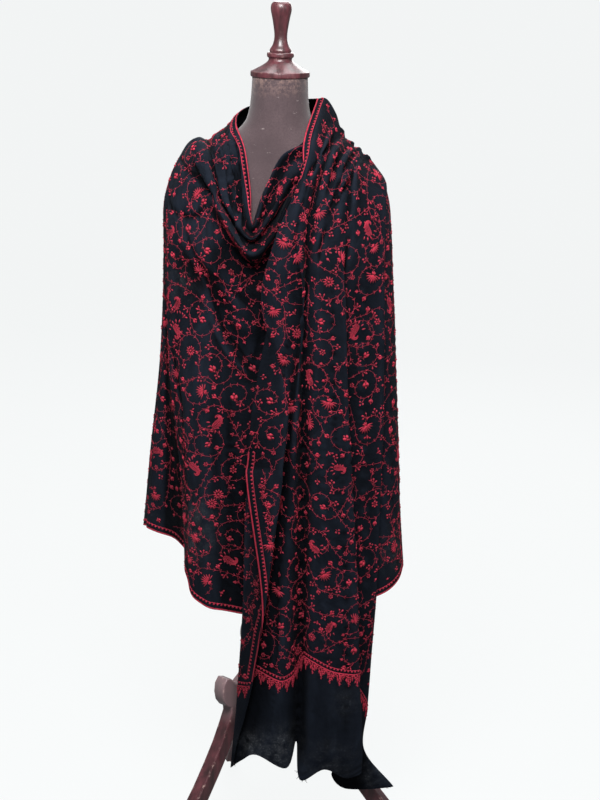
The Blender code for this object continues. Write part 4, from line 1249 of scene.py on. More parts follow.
    def sprigs(self, scroll):
        """Berries, buds, leaves, florets and twigs, wherever the ground is open."""
        sheet = self.sheet
        path, headings = scroll.at, scroll.heading
        for share in SPRIG_SHARES:
            k = min(int(share * len(path) + self.chance.integers(-1, 2)), len(path) - 1)
            outer = -1 if self.chance.uniform() < 0.6 else 1
            turn = headings[k] + outer * scroll.hand * self.chance.uniform(0.55, 1.15)
            reach = self.chance.uniform(6.5, 11.0) * MM
            target = sheet.walk(path[k], turn, 1.25 * reach, 2)
            if not (scroll.fine[k] and self.clear(target)):
                continue
            spot = sheet.read(sheet.points, target)
            if np.min(np.sum((self.taken - spot) ** 2, axis=1)) < SPRIG_GROUND**2:
                continue
            blooms = np.array(self.blooms or [(9.0, 9.0, 9.0)])
            if np.min(np.sum((blooms - spot) ** 2, axis=1)) < SPRIG_APART**2:
                continue
            self.blooms.append(spot)
            getattr(self, str(self.chance.choice(SPRIGS)))(path[k], turn, reach)

    def stalk(self, centre, heading, reach, bow):
        self.drawn(centre, heading, [(0, 0), (reach * 0.5, reach * bow), (reach, 0)], 0.85 * MM)

    def berries(self, centre, heading, reach):
        """Three berries on a short stalk."""
        self.stalk(centre, heading, reach, 0.08)
        for ahead, aside in ((5.2, 0.0), (0.6, 3.6), (0.6, -3.6)):
            ahead = reach + ahead * MM
            turn = heading + math.atan2(aside * MM, ahead)
            self.petal(centre, turn, math.hypot(ahead, aside * MM), turn, 4.5 * MM, 3.9 * MM)

    def bud(self, centre, heading, reach):
        self.stalk(centre, heading, reach, -0.1)
        self.petal(centre, heading, reach * 1.2, heading, 6.4 * MM, 3.6 * MM)
        for side in (-1, 1):
            self.petal(centre, heading + side * 0.25, reach, heading + side * 0.7,
                       4.4 * MM, 1.5 * MM)

    def twig(self, centre, heading, reach):
        """A stalk that forks twice, each fork ending in a bud."""
        self.stalk(centre, heading, reach * 1.3, 0.15)
        self.petal(centre, heading, reach * 1.5, heading, 5.6 * MM, 3.4 * MM)
        for share, side in ((0.5, -1), (0.9, 1)):
            fork = self.sheet.walk(centre, heading, share * reach)
            turn = heading + side
            self.stalk(fork, turn, 5.0 * MM, 0.1)
            self.petal(fork, turn, 6.6 * MM, turn, 5.0 * MM, 3.0 * MM)

    def leaf(self, centre, heading, reach):
        self.stalk(centre, heading, reach * 0.8, 0.12)
        self.heart(self.sheet.walk(centre, heading, reach * 1.2), heading, 9.5 * MM)

    def floret(self, centre, heading, reach):
        self.stalk(centre, heading, reach * 0.8, -0.12)
        self.rosette(self.sheet.walk(centre, heading, reach * 1.2), 9.5 * MM)

    def apart(self, first, second):
        """Forward and sideways distance over the cloth from each first place to one second."""
        sheet = self.sheet
        total = np.zeros((len(first), 3))
        for share in (0.1, 0.3, 0.5, 0.7, 0.9):
            at = first + (second - first) * share
            down = sheet.read(sheet.down, at)
            along = sheet.read(sheet.along, at)
            a = np.linalg.norm(down, axis=-1)
            b = np.sum(down * along, axis=-1) / np.maximum(a, 1e-9)
            c = np.sqrt(np.maximum(np.sum(along * along, axis=-1) - b * b, 0))
            total += np.stack([a, b, c], axis=-1) / 5
        step = second - first
        ahead = step[:, 0] * total[:, 0] + step[:, 1] * total[:, 1]
        return np.stack([ahead, step[:, 1] * total[:, 2]], axis=-1)

    def clear(self, at, share=1.0):
        """Whether each place is on the cloth and inside this share of its borders."""
        sheet = self.sheet
        fine = sheet.on_cloth(at)
        for edge in sheet.selvages:
            fine &= sheet.read(sheet.from_edge[edge], at) > self.threads.margin * share
        if self.stop_row is not None:
            limit = np.interp(at[..., 1], np.arange(len(self.stop_row)), self.stop_row)
            fine &= at[..., 0] < limit - 1.2
        return fine

    def cells(self, placed):
        """Scroll centres in staggered ranks down the cloth, and the neighbour each grows from."""
        sheet = self.sheet
        chance = self.chance
        spacing, margin = self.threads.spacing, self.threads.margin
        centres, ups, above = [], [], []
        level = 0
        fallen = sheet.fallen
        lines = np.arange(fallen.shape[1])
        first = margin * 1.32 if "top" in sheet.selvages else 0.45 * spacing
        inset, stagger = (margin * 1.32, 0.16) if "left" in sheet.selvages else (
            0.25 * spacing, 0.45)
        while (depth := first + level * spacing * 0.88) < fallen.max():
            i = np.array([np.interp(depth, fallen[:, j], np.arange(len(fallen))) for j in lines])
            run = run_along(sheet.read(sheet.points, np.stack([i, lines], axis=-1)))
            beyond = fallen[-1] < depth
            here = []
            place = inset + stagger * (level % 2) * spacing
            while place < run[-1]:
                spot = place + chance.uniform(-0.09, 0.09) * spacing
                j = np.interp(spot, run, lines)
                at = np.array([np.interp(j, lines, i), j])
                at = sheet.walk(at, 0.0, chance.uniform(-0.1, 0.1) * spacing)
                if not beyond[int(j)] and self.clear(at, 0.8):
                    here.append(len(centres))
                    up = len(centres)
                    if above and (len(here) % 3 == 1 or len(here) < 2):
                        up = min(above, key=lambda m: abs(centres[m][1] - j) + abs(
                            centres[m][0] - at[0]) * 0.3)
                    elif len(here) > 1:
                        up = here[-2]
                    ups.append(up)
                    centres.append(at)
                place += spacing
            above = here or above
            level += 1
        kinds = [None] * len(centres)
        middles = sheet.read(sheet.points, np.array(centres))
        for kind, row, column in placed:
            at = sheet.net_place(row, column)
            away = np.linalg.norm(middles - sheet.read(sheet.points, at), axis=1)
            away[[k for k, found in enumerate(kinds) if found]] = 9.0
            nearest = int(np.argmin(away))
            if away[nearest] < spacing:
                centres[nearest] = at
                kinds[nearest] = kind
        return np.array(centres), np.array(ups, int), kinds

    def edging(self, edge, inset, first=0, last=None):
        """A path along one edge of the sheet, at an even distance from it, and the way inwards."""
        rows, columns = self.sheet.points.shape[:2]
        if last is None:
            last = (rows if edge == "left" else columns) - 1
        along = np.arange(first, last + 0.01, 0.5)
        across = np.full(len(along), rows - 1.001 if edge == "bottom" else 0.001)
        path = np.stack([along, across] if edge == "left" else [across, along], axis=-1)
        inwards = {"top": 0.0, "bottom": math.pi, "left": math.pi / 2}[edge]
        return self.sheet.walk(path, inwards, inset, 6), inwards

    def evenly(self, path, pitch):
        """The path taken up again at even steps."""
        run = run_along(self.sheet.read(self.sheet.points, path))
        at = np.arange(0, run[-1], pitch)
        return np.stack([np.interp(at, run, path[:, 0]), np.interp(at, run, path[:, 1])], axis=-1)

    def beaded(self, path, outwards, size):
        """A stitched line with a row of round beads along its outer side."""
        self.line(self.evenly(path, 3.5 * MM), size * 0.19)
        for place in self.evenly(path, size):
            self.petal(place, outwards, size * 0.34, outwards, size * 0.62, size * 0.58)

    def selvage(self, edge, first=0, last=None):
        """The long edge's border: a solid band at the very edge and a beaded line inside it."""
        for inset in SELVAGE_BAND:
            path, inwards = self.edging(edge, inset * MM, first, last)
            self.line(self.evenly(path, BAND_STEP), BAND_THREAD)
        inset, bead = SELVAGE_BEADS
        path, inwards = self.edging(edge, inset * MM, first, last)
        self.beaded(path, inwards + math.pi, bead * MM)

    def creeper(self, first, last):
        """A thorny vine that wanders along the left edge, with a sprig in each of its bends."""
        path, inwards = self.edging("left", CREEPER_INSET, first, last)
        path = self.evenly(path, STITCHED_STEP)
        run = STITCHED_STEP * np.arange(len(path))
        sway = np.sin(run * TAU / CREEPER_WAVE)
        path = self.sheet.walk(path, inwards, CREEPER_SWING * sway, 3)
        headings = np.arctan(
            CREEPER_SWING * TAU / CREEPER_WAVE * np.cos(run * TAU / CREEPER_WAVE))
        self.line(path, self.threads.vine)
        self.thorns(path, headings)
        kinds = (self.berries, self.leaf, self.twig, self.floret, self.bud)
        pitch = int(0.25 * CREEPER_WAVE / STITCHED_STEP)
        for count, k in enumerate(range(6, len(path) - 4, pitch)):
            side = 1 if count % 4 < 2 else -1
            turn = headings[k] - side * self.chance.uniform(0.7, 1.2)
            kinds[int(self.chance.integers(len(kinds)))](path[k], turn, 6.5 * MM)

    def short_end(self):
        """The short end's border: beads, a solid band, and pointed blossoms hanging below it."""
        sheet = self.sheet
        lines = np.arange(len(self.stop_row), dtype=float)
        path = np.stack([self.stop_row, lines], axis=-1)
        path = path[sheet.read(sheet.from_edge["left"], path) > 4 * MM]
        inset, bead = END_BEADS
        self.beaded(sheet.walk(path, math.pi, inset * MM, 2), 0.0, bead * MM)
        for inset in END_BAND:
            self.line(self.evenly(sheet.walk(path, 0.0, inset * MM, 4), BAND_STEP), BAND_THREAD)
        rank = self.evenly(sheet.walk(path, 0.0, FRINGE_INSET, 5), FRINGE_PITCH / 5)
        for k, place in enumerate(rank):
            self.pendant(place, k % 5)

    def pendant(self, place, turn_in_point):
        """One file of florets in the fringe of points: longest in the middle of a point."""
        chance = self.chance
        ranks = (1, 3, 5, 3, 2)[turn_in_point]
        for k in range(ranks):
            down = (4.2 * k + 2.1 * (turn_in_point % 2) + chance.uniform(-0.6, 0.6)) * MM
            turn = math.atan2(chance.uniform(-0.9, 0.9) * MM, max(down, MM))
            size = chance.uniform(3.7, 4.8) * MM
            self.petal(place, turn, down, chance.uniform(-1.6, 1.6), size, size * 0.86)
            side = 1 if chance.uniform() < 0.5 else -1
            self.petal(place, turn + side * 0.1, down + 2.1 * MM, side * 1.3, 3.6 * MM, 1.5 * MM)
        tip = (2.5, 3.0, 4.6, 3.0, 2.8)[turn_in_point] * MM * chance.uniform(0.85, 1.15)
        self.petal(place, 0.0, 4.2 * ranks * MM, 0.0, tip, tip * 0.55)


def run_along(points):
    """Distance along a path of points, at each of them."""
    return np.concatenate([[0], np.cumsum(np.linalg.norm(np.diff(points, axis=0), axis=1))])


def runs_of(fine):
    """The stretches of a mask that are true, as slices."""
    edges = np.flatnonzero(np.diff(np.concatenate([[0], np.asarray(fine, int), [0]])))
    return [slice(first, last) for first, last in zip(edges[::2], edges[1::2])]


def line_mesh(name, work, lift, within):
    """The work's lines as loose edges that carry their outward side, width and painted shade."""
    sheet = work.sheet
    side = math.copysign(1.0, lift)
    points, edges, ups, wide, folds = [], [], [], [], []
    for path, width in work.lines:
        for run in runs_of(within(path)):
            at = path[run]
            if len(at) < 2:
                continue
            first = len(points)
            points += list(sheet.place(at, lift))
            ups += list(sheet.frame_at(at, 0.0)[1] * side)
            wide += [width] * len(at)
            folds += list(sheet.read(sheet.fold, at) * side)
            edges += [(k, k + 1) for k in range(first, len(points) - 1)]
    return new_mesh(name, points, edges, fold=folds, up=ups, wide=wide)


def point_mesh(name, sheet, at, heading, length, width, lift):
    """Loose points that carry how a petal lies at each, and the cloth's painted shade."""
    side = math.copysign(1.0, lift)
    ahead, up = sheet.frame_at(at, heading)
    size = np.stack([length, width, np.minimum(width * 0.42, 1.5 * MM)], axis=-1)
    return new_mesh(name, sheet.place(at, lift), ahead=ahead, up=up * side, size=size,
                    fold=sheet.read(sheet.fold, at) * side)


def petal_shape(name, sides):
    """A low pointed dome, one unit long, wide and high, closed underneath."""
    outline = {8: ((0.5, 0.0), (0.27, 0.38), (-0.08, 0.5), (-0.38, 0.3), (-0.5, 0.0),
                   (-0.38, -0.3), (-0.08, -0.5), (0.27, -0.38)),
               4: ((0.5, 0.0), (0.0, 0.5), (-0.5, 0.0), (0.0, -0.5))}[sides]
    points = [(x, y, 0.0) for x, y in outline] + [(-0.06, 0.0, 1.0), (0.0, 0.0, -0.5)]
    faces = []
    for k in range(sides):
        after = (k + 1) % sides
        faces += [(k, after, sides), (after, k, sides + 1)]
    mesh = new_mesh(name, points, faces=faces)
    mesh.shade_smooth()
    return link(name, mesh)


def tree_with(name, inputs):
    """A new Geometry Nodes tree with these named inputs, its graph, and its entry."""
    tree = bpy.data.node_groups.new(name, "GeometryNodeTree")
    face = tree.interface
    for title, kind, value in (("Geometry", "Geometry", None), *inputs):
        made = face.new_socket(title, in_out="INPUT", socket_type="NodeSocket" + kind)
        if value is not None:
            made.default_value = value
    face.new_socket("Geometry", in_out="OUTPUT", socket_type="NodeSocketGeometry")
    graph = Graph(tree)
    return tree, graph, graph.node("NodeGroupInput")


def named(graph, name, kind):
    return graph.node("GeometryNodeInputNamedAttribute", {"data_type": kind}, {"Name": name})


def close_tree(graph, geometry, entry):
    """Makes the result real, gives it its material, and sends it out."""
    real = graph.node("GeometryNodeRealizeInstances", {}, {"Geometry": geometry})
    smooth = graph.node("GeometryNodeSetShadeSmooth", {}, {"Geometry": real})
    inputs = {"Geometry": smooth, "Material": entry.output("Finish")}
    painted = graph.node("GeometryNodeSetMaterial", {}, inputs)
    graph.node("NodeGroupOutput", {}, {"Geometry": painted})


def thread_tree():
    """Lays a flattened thread along each line, its flat side on the cloth."""
    tree, graph, entry = tree_with("thread_along", (
        ("Sides", "Int", THREAD_SIDES), ("Finish", "Material", None)))
    curve = graph.node("GeometryNodeMeshToCurve", {}, {"Mesh": entry.output("Geometry")})
    inputs = {"Curve": curve, "Normal": named(graph, "up", "FLOAT_VECTOR")}
    curve = graph.node("GeometryNodeSetCurveNormal", {"mode": "FREE"}, inputs)
    run = graph.node("GeometryNodeSplineParameter", {}, {}, "Length")
    inputs = {"Geometry": curve, "Name": "stitch", "Value": run}
    curve = graph.node("GeometryNodeStoreNamedAttribute", {"data_type": "FLOAT"}, inputs)
    inputs = {"Resolution": entry.output("Sides"), "Radius": 0.5}
    ring = graph.node("GeometryNodeCurvePrimitiveCircle", {"mode": "RADIUS"}, inputs)
    ring = graph.node("GeometryNodeTransform", {}, {"Geometry": ring, "Scale": THREAD_FLATNESS})
    inputs = {"Curve": curve, "Profile Curve": ring, "Scale": named(graph, "wide", "FLOAT"),
              "Fill Caps": True}
    close_tree(graph, graph.node("GeometryNodeCurveToMesh", {}, inputs), entry)
    return tree


def petal_tree():
    """Sets the shape on each point, turned and sized as the point says, a little uneven."""
    tree, graph, entry = tree_with("petals_on_points", (
        ("Shape", "Object", None), ("Unevenness", "Float", PETAL_UNEVENNESS),
        ("Seed", "Int", 7), ("Finish", "Material", None)))
    points = graph.node("GeometryNodeMeshToPoints", {}, {"Mesh": entry.output("Geometry")})
    shape = graph.node("GeometryNodeObjectInfo", {}, {"Object": entry.output("Shape")}, "Geometry")
    inputs = {"Primary Axis": named(graph, "up", "FLOAT_VECTOR"),
              "Secondary Axis": named(graph, "ahead", "FLOAT_VECTOR")}
    settings = {"primary_axis": "Z", "secondary_axis": "X"}
    turn = graph.node("FunctionNodeAxesToRotation", settings, inputs)
    uneven = entry.output("Unevenness")
    inputs = {2: 1.0 - uneven, 3: 1.0 + uneven, "Seed": entry.output("Seed")}
    chance = graph.node("FunctionNodeRandomValue", {"data_type": "FLOAT"}, inputs, 1)
    inputs = {0: named(graph, "size", "FLOAT_VECTOR"), "Scale": chance}
    size = graph.node("ShaderNodeVectorMath", {"operation": "SCALE"}, inputs)
    inputs = {"Points": points, "Instance": shape, "Rotation": turn, "Scale": size}
    close_tree(graph, graph.node("GeometryNodeInstanceOnPoints", {}, inputs), entry)
    return tree


def grown(name, mesh, tree, values):
    """A plain mesh piece grown from this mesh by the tree, with these input values."""
    seedling = link(name + "_plan", mesh)
    growth = seedling.modifiers.new("growth", "NODES")
    growth.node_group = tree
    for item in tree.interface.items_tree:
        if item.in_out == "INPUT" and item.name in values:
            growth[item.identifier] = values[item.name]
    graph = bpy.context.evaluated_depsgraph_get()
    made = bpy.data.meshes.new_from_object(seedling.evaluated_get(graph))
    seedling.modifiers.remove(growth)
    bpy.data.objects.remove(seedling, do_unlink=True)
    made.name = name
    if not len(made.polygons):
        raise RuntimeError(f"{name} came out empty")
    return link(name, made, values["Finish"])


def anywhere(at):
    return np.ones(len(at), bool)


def stitched_pieces(prefix, work, finish, side=1, within=anywhere):
    """The needlework of one sheet as three pieces: its lines, its leaflets and its petals."""
    lift = side * work.threads.raised
    values = {"Finish": finish, "Sides": THREAD_SIDES}
    made = [grown(prefix + "_vines", line_mesh(prefix, work, lift, within), thread_tree(), values)]
    values = {"Finish": finish, "Seed": work.threads.seed, "Unevenness": PETAL_UNEVENNESS}
    for name, rows, sides, steps in (
            ("leaflets", work.leaflets, 4, 1), ("blossoms", work.petals, 8, 4)):
        table = np.array(rows, float)
        at = work.sheet.walk(table[:, :2], table[:, 2], table[:, 3], steps)
        fine = work.sheet.on_cloth(at) & within(at)
        mesh = point_mesh(prefix + name, work.sheet, at[fine], *table[fine, 4:].T, lift)
        values["Shape"] = petal_shape(prefix + name + "_shape", sides)
        made.append(grown(f"{prefix}_{name}", mesh, petal_tree(), values))
        bpy.data.objects.remove(values["Shape"], do_unlink=True)
    for piece in made:
        seat(piece, "embroidery")
    return made


def frayed_piece(sheet, seed, finish):
    """Loose threads that curl from the corners of the short end."""
    chance = np.random.default_rng(seed)
    points, edges, ups = [], [], []
    for column, count in FRAYED:
        for _ in range(count):
            column_here = np.clip(column + chance.uniform(-0.12, 0.12), 0, 13)
            at = sheet.net_place(len(FALL_ROWS), column_here) - (1.0, 0.0)
            ahead, up = sheet.frame_at(at, chance.uniform(-1.0, 1.0))
            reach = chance.uniform(6.0, 13.0) * MM
            curl = chance.uniform(-4.0, 4.0) * MM
            first = len(points)
            for share in np.linspace(0, 1, 6):
                side = np.cross(ahead, up) * curl * share**2
                points.append(sheet.read(sheet.points, at) + ahead * reach * share + side)
                ups.append(up)
            edges += [(k, k + 1) for k in range(first, len(points) - 1)]
    mesh = new_mesh("frayed", points, edges, up=ups, wide=np.full(len(points), 0.8 * MM))
    values = {"Finish": finish, "Sides": THREAD_SIDES}
    return seat(grown("frayed_threads", mesh, thread_tree(), values), "shawl_wool")


# ---------------------------------------------------------------- form, stand and studio
def round_rings(profile, sides, centre):
    """Rings of points about an upright line, one for each (radius, height)."""
    radius, height = np.array(profile, float).T[..., None]
    turn = TAU * np.arange(sides) / sides
    x, y = centre.x + radius * np.cos(turn), centre.y + radius * np.sin(turn)
    return np.stack(np.broadcast_arrays(x, y, height), axis=-1)


def ringed_mesh(name, rings, capped=True, **fields):
    """A surface over these rings of points, closed at both ends if it is capped."""
    count, sides, _ = rings.shape
    faces = [tuple(range(sides))] if capped else []
    for first in range(0, (count - 1) * sides, sides):
        for step in range(sides):
            a, b = first + step, first + (step + 1) % sides
            faces.append((a, a + sides, b + sides, b))
    if capped:
        faces.append(tuple(reversed(range((count - 1) * sides, count * sides))))
    return new_mesh(name, rings.reshape(-1, 3), faces=faces, **fields)


def form_piece(material):
    """The covered torso: superellipse rings on smooth curves through its sections."""
    sections = np.array(FORM_SECTIONS, float)
    at = stations((4,) * (len(sections) - 1))
    height, half_width, front, back = (spline_weights(len(sections), at) @ sections).T[..., None]
    turn = TAU * np.arange(FORM_SIDES) / FORM_SIDES
    across, ahead = (np.sign(part) * np.abs(part) ** (2 / FORM_SQUARENESS)
                     for part in (np.cos(turn), np.sin(turn)))
    rings = np.stack(np.broadcast_arrays(
        AXIS.x + half_width * across * MM, AXIS.y + np.where(ahead > 0, back, front) * ahead * MM,
        height * MM), axis=-1)
    mesh = ringed_mesh("jersey_form", rings)
    smoothed(mesh, sharp=50)
    return link("jersey_form", mesh, material)


def turned_piece(name, steps, profile, material):
    """A turned piece: its profile swept round the axis, its rims marked where they wear."""
    profile = np.array(profile, float)
    at = stations((steps,) * (len(profile) - 1))
    curve = spline_weights(len(profile), at) @ profile if steps > 1 else profile
    heights, radii = curve.T
    bend = np.abs(np.gradient(np.arctan2(np.gradient(radii), np.gradient(-heights))))
    worn = np.clip(bend / 0.5, 0, 1) * (radii > 12)
    rings = round_rings(curve[:, ::-1] * MM, TURNED_SIDES, AXIS)
    mesh = ringed_mesh(name, rings, wear=np.repeat(worn, TURNED_SIDES))
    smoothed(mesh, sharp=40)
    return link(name + "_wood", mesh, material)


def leg_piece(name, azimuth, material):
    """A sawn scroll leg: its side view as a board on edge, with softened, rubbed edges."""
    outline = [Vector((r * MM, 0.0, z * MM)) for r, z in LEG_OUTLINE]
    shape = bmesh.new()
    half = LEG_THICKNESS / 2
    layers = [
        [shape.verts.new(p + Vector((0, side, 0))) for p in outline]
        for side in (-half, RUBBED_EDGE - half, half - RUBBED_EDGE, half)
    ]
    cheeks = [shape.faces.new(layers[0]), shape.faces.new(reversed(layers[-1]))]
    count = len(outline)
    for near, far in zip(layers, layers[1:]):
        for k in range(count):
            after = (k + 1) % count
            shape.faces.new((near[after], near[k], far[k], far[after]))
    bmesh.ops.recalc_face_normals(shape, faces=shape.faces)
    bmesh.ops.inset_individual(shape, faces=cheeks, thickness=RUBBED_EDGE)
    rims = [e for e in shape.edges if e.calc_face_angle(0) > math.radians(60)]
    cut = bmesh.ops.bevel(shape, geom=rims, offset=LEG_BEVEL, segments=3, profile=0.5,
                          affect="EDGES", clamp_overlap=True)
    shape.verts.index_update()
    worn = {v.index for v in cut["verts"] if v.is_valid}
    turn = Matrix.Translation(AXIS) @ Matrix.Rotation(math.radians(azimuth), 4, "Z")
    bmesh.ops.transform(shape, matrix=turn, verts=shape.verts)
    mesh = bpy.data.meshes.new(name)
    shape.to_mesh(mesh)
    shape.free()
    add_field(mesh, "wear", [float(k in worn) for k in range(len(mesh.vertices))])
    smoothed(mesh, sharp=38)
    return link(name + "_wood", mesh, material)


def stage_piece(name, profile, colour, grip):
    """A turned surface of the stage. It lights nothing: only the lights and the air do."""
    mesh = ringed_mesh(name, round_rings(profile[::-1], STAGE_SIDES, Vector()), capped=False)
    mesh.shade_smooth()
    made = link(name, mesh, plain_finish(name + "_paper", colour, grip))
    made.visible_diffuse = made.visible_glossy = made.visible_shadow = False
    return made


def softbox(name, place, aim, size, power):
    data = bpy.data.lights.new(name, "AREA")
    data.shape = "SQUARE"
    data.size = size
    data.energy = power
    made = link(name, data)
    made.location = place
    made.rotation_euler = (Vector(aim) - Vector(place)).to_track_quat("-Z", "Y").to_euler()
    made.visible_camera = False


# ---------------------------------------------------------------- settings
def length(name, description, default):
    return bpy.props.FloatProperty(
        name=name, description=description, default=default, unit="LENGTH")


def tint(name, description, default):
    return bpy.props.FloatVectorProperty(
        name=name, description=description, default=default, subtype="COLOR")


class ClothSettings(bpy.types.PropertyGroup):
    """The shawl's cloth."""

    wall: length("Wall", "Thickness of the cloth shell", 1.7 * MM)
    twill: length("Twill", "Distance between two ribs of the weave", 0.8 * MM)
    swell: length("Swell", "Depth of the slow uneven swell of limp cloth", 1.6 * MM)
    # Deep is the painted shade in folds and under layers; light is the painted highlight on ridges.
    deep: tint("Deep", "Colour in the folds", (0.0003, 0.0006, 0.0014))
    light: tint("Light", "Colour on the ridges", (0.0081, 0.0111, 0.0179))
    rubbed: tint("Rubbed", "Colour of the lint on rubbed places", (0.15, 0.16, 0.175))


class ThreadSettings(bpy.types.PropertyGroup):
    """The embroidery."""

    spacing: length("Spiral spacing", "Distance between the centres of two spirals", 82 * MM)
    vine: length("Vine", "Width of a vine's thread", 0.51 * MM)
    raised: length("Raised", "Height of the thread's middle above the cloth's middle", 1.05 * MM)
    stitch: length("Stitch", "Length of one chain stitch", 2.2 * MM)
    margin: length("Margin", "Plain width kept inside a long edge for its border", 24 * MM)
    seed: bpy.props.IntProperty(
        name="Seed", description="Fixes the uneven choices of the pattern", default=11)
    colour: tint("Thread", "Colour of the thread", (0.479, 0.031, 0.062))


class FormSettings(bpy.types.PropertyGroup):
    """The covered torso."""

    deep: tint("Deep", "Darker colour of the jersey", (0.038, 0.024, 0.027))
    light: tint("Light", "Lighter colour of the jersey", (0.068, 0.045, 0.049))
    scuffed: tint("Scuffed", "Colour where the cover is scuffed", (0.3, 0.19, 0.16))


class WoodSettings(bpy.types.PropertyGroup):
    """The cap, the finial and the stand."""

    deep: tint("Deep", "Dark colour of the grain", (0.02, 0.0055, 0.0065))
    light: tint("Light", "Light colour of the grain", (0.11, 0.026, 0.034))
    rubbed: tint("Rubbed", "Colour where the stain is worn off", (0.4, 0.27, 0.24))
    # The colour the sawn legs turn towards over the height of their scrolls.
    faded: tint("Faded", "Colour where the stain has bleached", (0.4, 0.31, 0.32))


class StudioSettings(bpy.types.PropertyGroup):
    """The pale stage."""

    paper: tint("Paper", "Colour of the floor and backdrop", (0.95, 0.968, 0.968))
    brightness: bpy.props.FloatProperty(
        name="Brightness", description="Strength of all the studio lights", default=1.0)


# ---------------------------------------------------------------- operators
STATE = {}


class SHAWL_OT_cloth(bpy.types.Operator):
    """Makes the shawl's cloth: the wrap round the body and the long end down the front"""

    bl_idname = "shawl.cloth"
    bl_label = "Cloth"

    def execute(self, context):
        cloth = context.scene.shawl_cloth
        wool = wool_finish(cloth)
        wrap = wrap_sheet(cloth.swell)
        rolled = np.where(np.arange(wrap.points.shape[1]) < rolled_columns(), 0.025, 0.0)
        wrap.from_edge = {"top": wrap.fallen + rolled, "bottom": wrap.fallen[-1:] - wrap.fallen}
        wrap.selvages = ("top", "bottom")
        fall = fall_sheet(wrap, cloth.swell)
        tucked, out = TUCKED_ROWS
        covered = np.clip((out - fall.row_at) / 0.3, 0, 1)
        covered = covered * np.clip((fall.row_at - tucked) / 0.3, 0, 1)
        fall.from_edge = {"left": fall.run + 0.03 * covered[:, None]}
        fall.selvages = ("left",)
        # Painted shadow: on the wrap beside the fall's free edge and along the cowl's hollow, and
        # on the fall beside its flap, over the columns that lie under it.
        under = np.clip(fall.column_at - 2.6, 0, 1)[None, :]
        hollow = wrap.net_place(*np.array(COWL_HOLLOW).T)
        wrap.darken_beside(*edge_points(fall, *FREE_EDGE), 1.0)
        wrap.darken_beside(wrap.read(wrap.points, hollow), HOLLOW_REACH, 1.0)
        fall.darken_beside(*edge_points(fall, *FLAP_EDGE), under)
        STATE["wrap"] = wrap
        STATE["fall"] = fall
        piece = cloth_piece("shawl_wrap", wrap, cloth.wall, wool, BODY_WEAR)
        nodes = ("shawl_chest", "shawl_right_arm", "shawl_back", "shawl_left_arm")
        STATE["wrap_piece"] = seat(piece, "shawl_wool", *nodes)
        piece = cloth_piece("shawl_fall", fall, cloth.wall, wool, FALL_WEAR)
        nodes = ("shawl_front_flap", "shawl_front_panel", "shawl_front_inner")
        STATE["fall_piece"] = seat(piece, "shawl_wool", *nodes)
        return {"FINISHED"}


class SHAWL_OT_embroidery(bpy.types.Operator):
    """Embroiders the cloth: scrolling vines, blossoms, paisleys and the borders"""

    bl_idname = "shawl.embroidery"
    bl_label = "Embroidery"

    def execute(self, context):
        threads = context.scene.shawl_threads
        crimson = thread_finish("crimson_thread", threads)
        wrap = Needlework(STATE["wrap"], threads, threads.seed)
        wrap.vines(BODY_MOTIFS)
        wrap.selvage("top", rolled_columns(), body_columns())
        wrap.selvage("bottom")
        made = stitched_pieces("wrap", wrap, crimson)
        sheet = STATE["fall"]
        fall = Needlework(sheet, threads, threads.seed + 1, end_rows(sheet))
        fall.vines(FALL_MOTIFS)
        tucks_in, comes_out, flat = (
            int(sheet.net_place(row, 0)[0]) for row in (*UNSTITCHED_ROWS, CREEPER_ROW))
        end = int(fall.stop_row[0])
        fall.selvage("left", 0, tucks_in)
        fall.selvage("left", comes_out, end)
        fall.short_end()
        fall.creeper(flat, end - 8)
        made = stitched_pieces("fall", fall, crimson)
        under = thread_finish("crimson_underside", threads, 0.55)
        made += stitched_pieces("underside", fall, under, -1, turned_over)
        wool = SimpleNamespace(colour=(0.045, 0.035, 0.042), stitch=threads.stitch)
        made.append(frayed_piece(sheet, threads.seed, thread_finish("wool_thread", wool)))
        return {"FINISHED"}


def turned_over(at):
    """Where the fall's free edge is turned and shows its wrong side."""
    first_row, last_column = STATE["fall"].net_place(*TURNED_OVER)
    return (at[:, 1] < last_column) & (at[:, 0] > first_row)


def edge_points(fall, first_row, last_column, reach):
    """The fall's points in these rows and columns, and how far their shade reaches."""
    chosen = (fall.row_at > first_row)[:, None] & (fall.column_at < last_column)[None, :]
    return fall.points[chosen], reach


def body_columns():
    return sum(BODY_COLUMN_STEPS)


def rolled_columns():
    """How many of the wrap's first columns have their neck edge rolled out of sight."""
    return sum(BODY_COLUMN_STEPS[:3])


def end_rows(sheet):
    """The grid row where the short end's border crosses each grid column."""
    wanted = np.interp(sheet.column_at, *zip(*END_LINE)) * MM
    heights = sheet.points[:, :, 2]
    rows = np.arange(len(heights))
    found = [np.interp(-wanted[j], -heights[:, j], rows) for j in range(heights.shape[1])]
    kernel = np.ones(5) / 5
    return np.convolve(np.pad(found, 2, mode="edge"), kernel, mode="valid")


class SHAWL_OT_form(bpy.types.Operator):
    """Covers the dress form in jersey"""

    bl_idname = "shawl.form"
    bl_label = "Dress form"

    def execute(self, context):
        jersey = jersey_finish(context.scene.shawl_form)
        seat(form_piece(jersey), "form_jersey", "dress_form")
        return {"FINISHED"}


class SHAWL_OT_wood(bpy.types.Operator):
    """Makes the turned cap, finial and stand, and the sawn legs"""

    bl_idname = "shawl.wood"
    bl_label = "Wood"

    def execute(self, context):
        wood = context.scene.shawl_wood
        turned = wood_finish("turned_rosewood", wood)
        sawn = wood_finish("sawn_rosewood", wood, upright=False)
        for name, (steps, profile) in TURNED.items():
            seat(turned_piece(name, steps, profile, turned), "rosewood", name)
        for name, azimuth in LEG_AZIMUTHS.items():
            seat(leg_piece(name, azimuth, sawn), "rosewood", name)
        return {"FINISHED"}


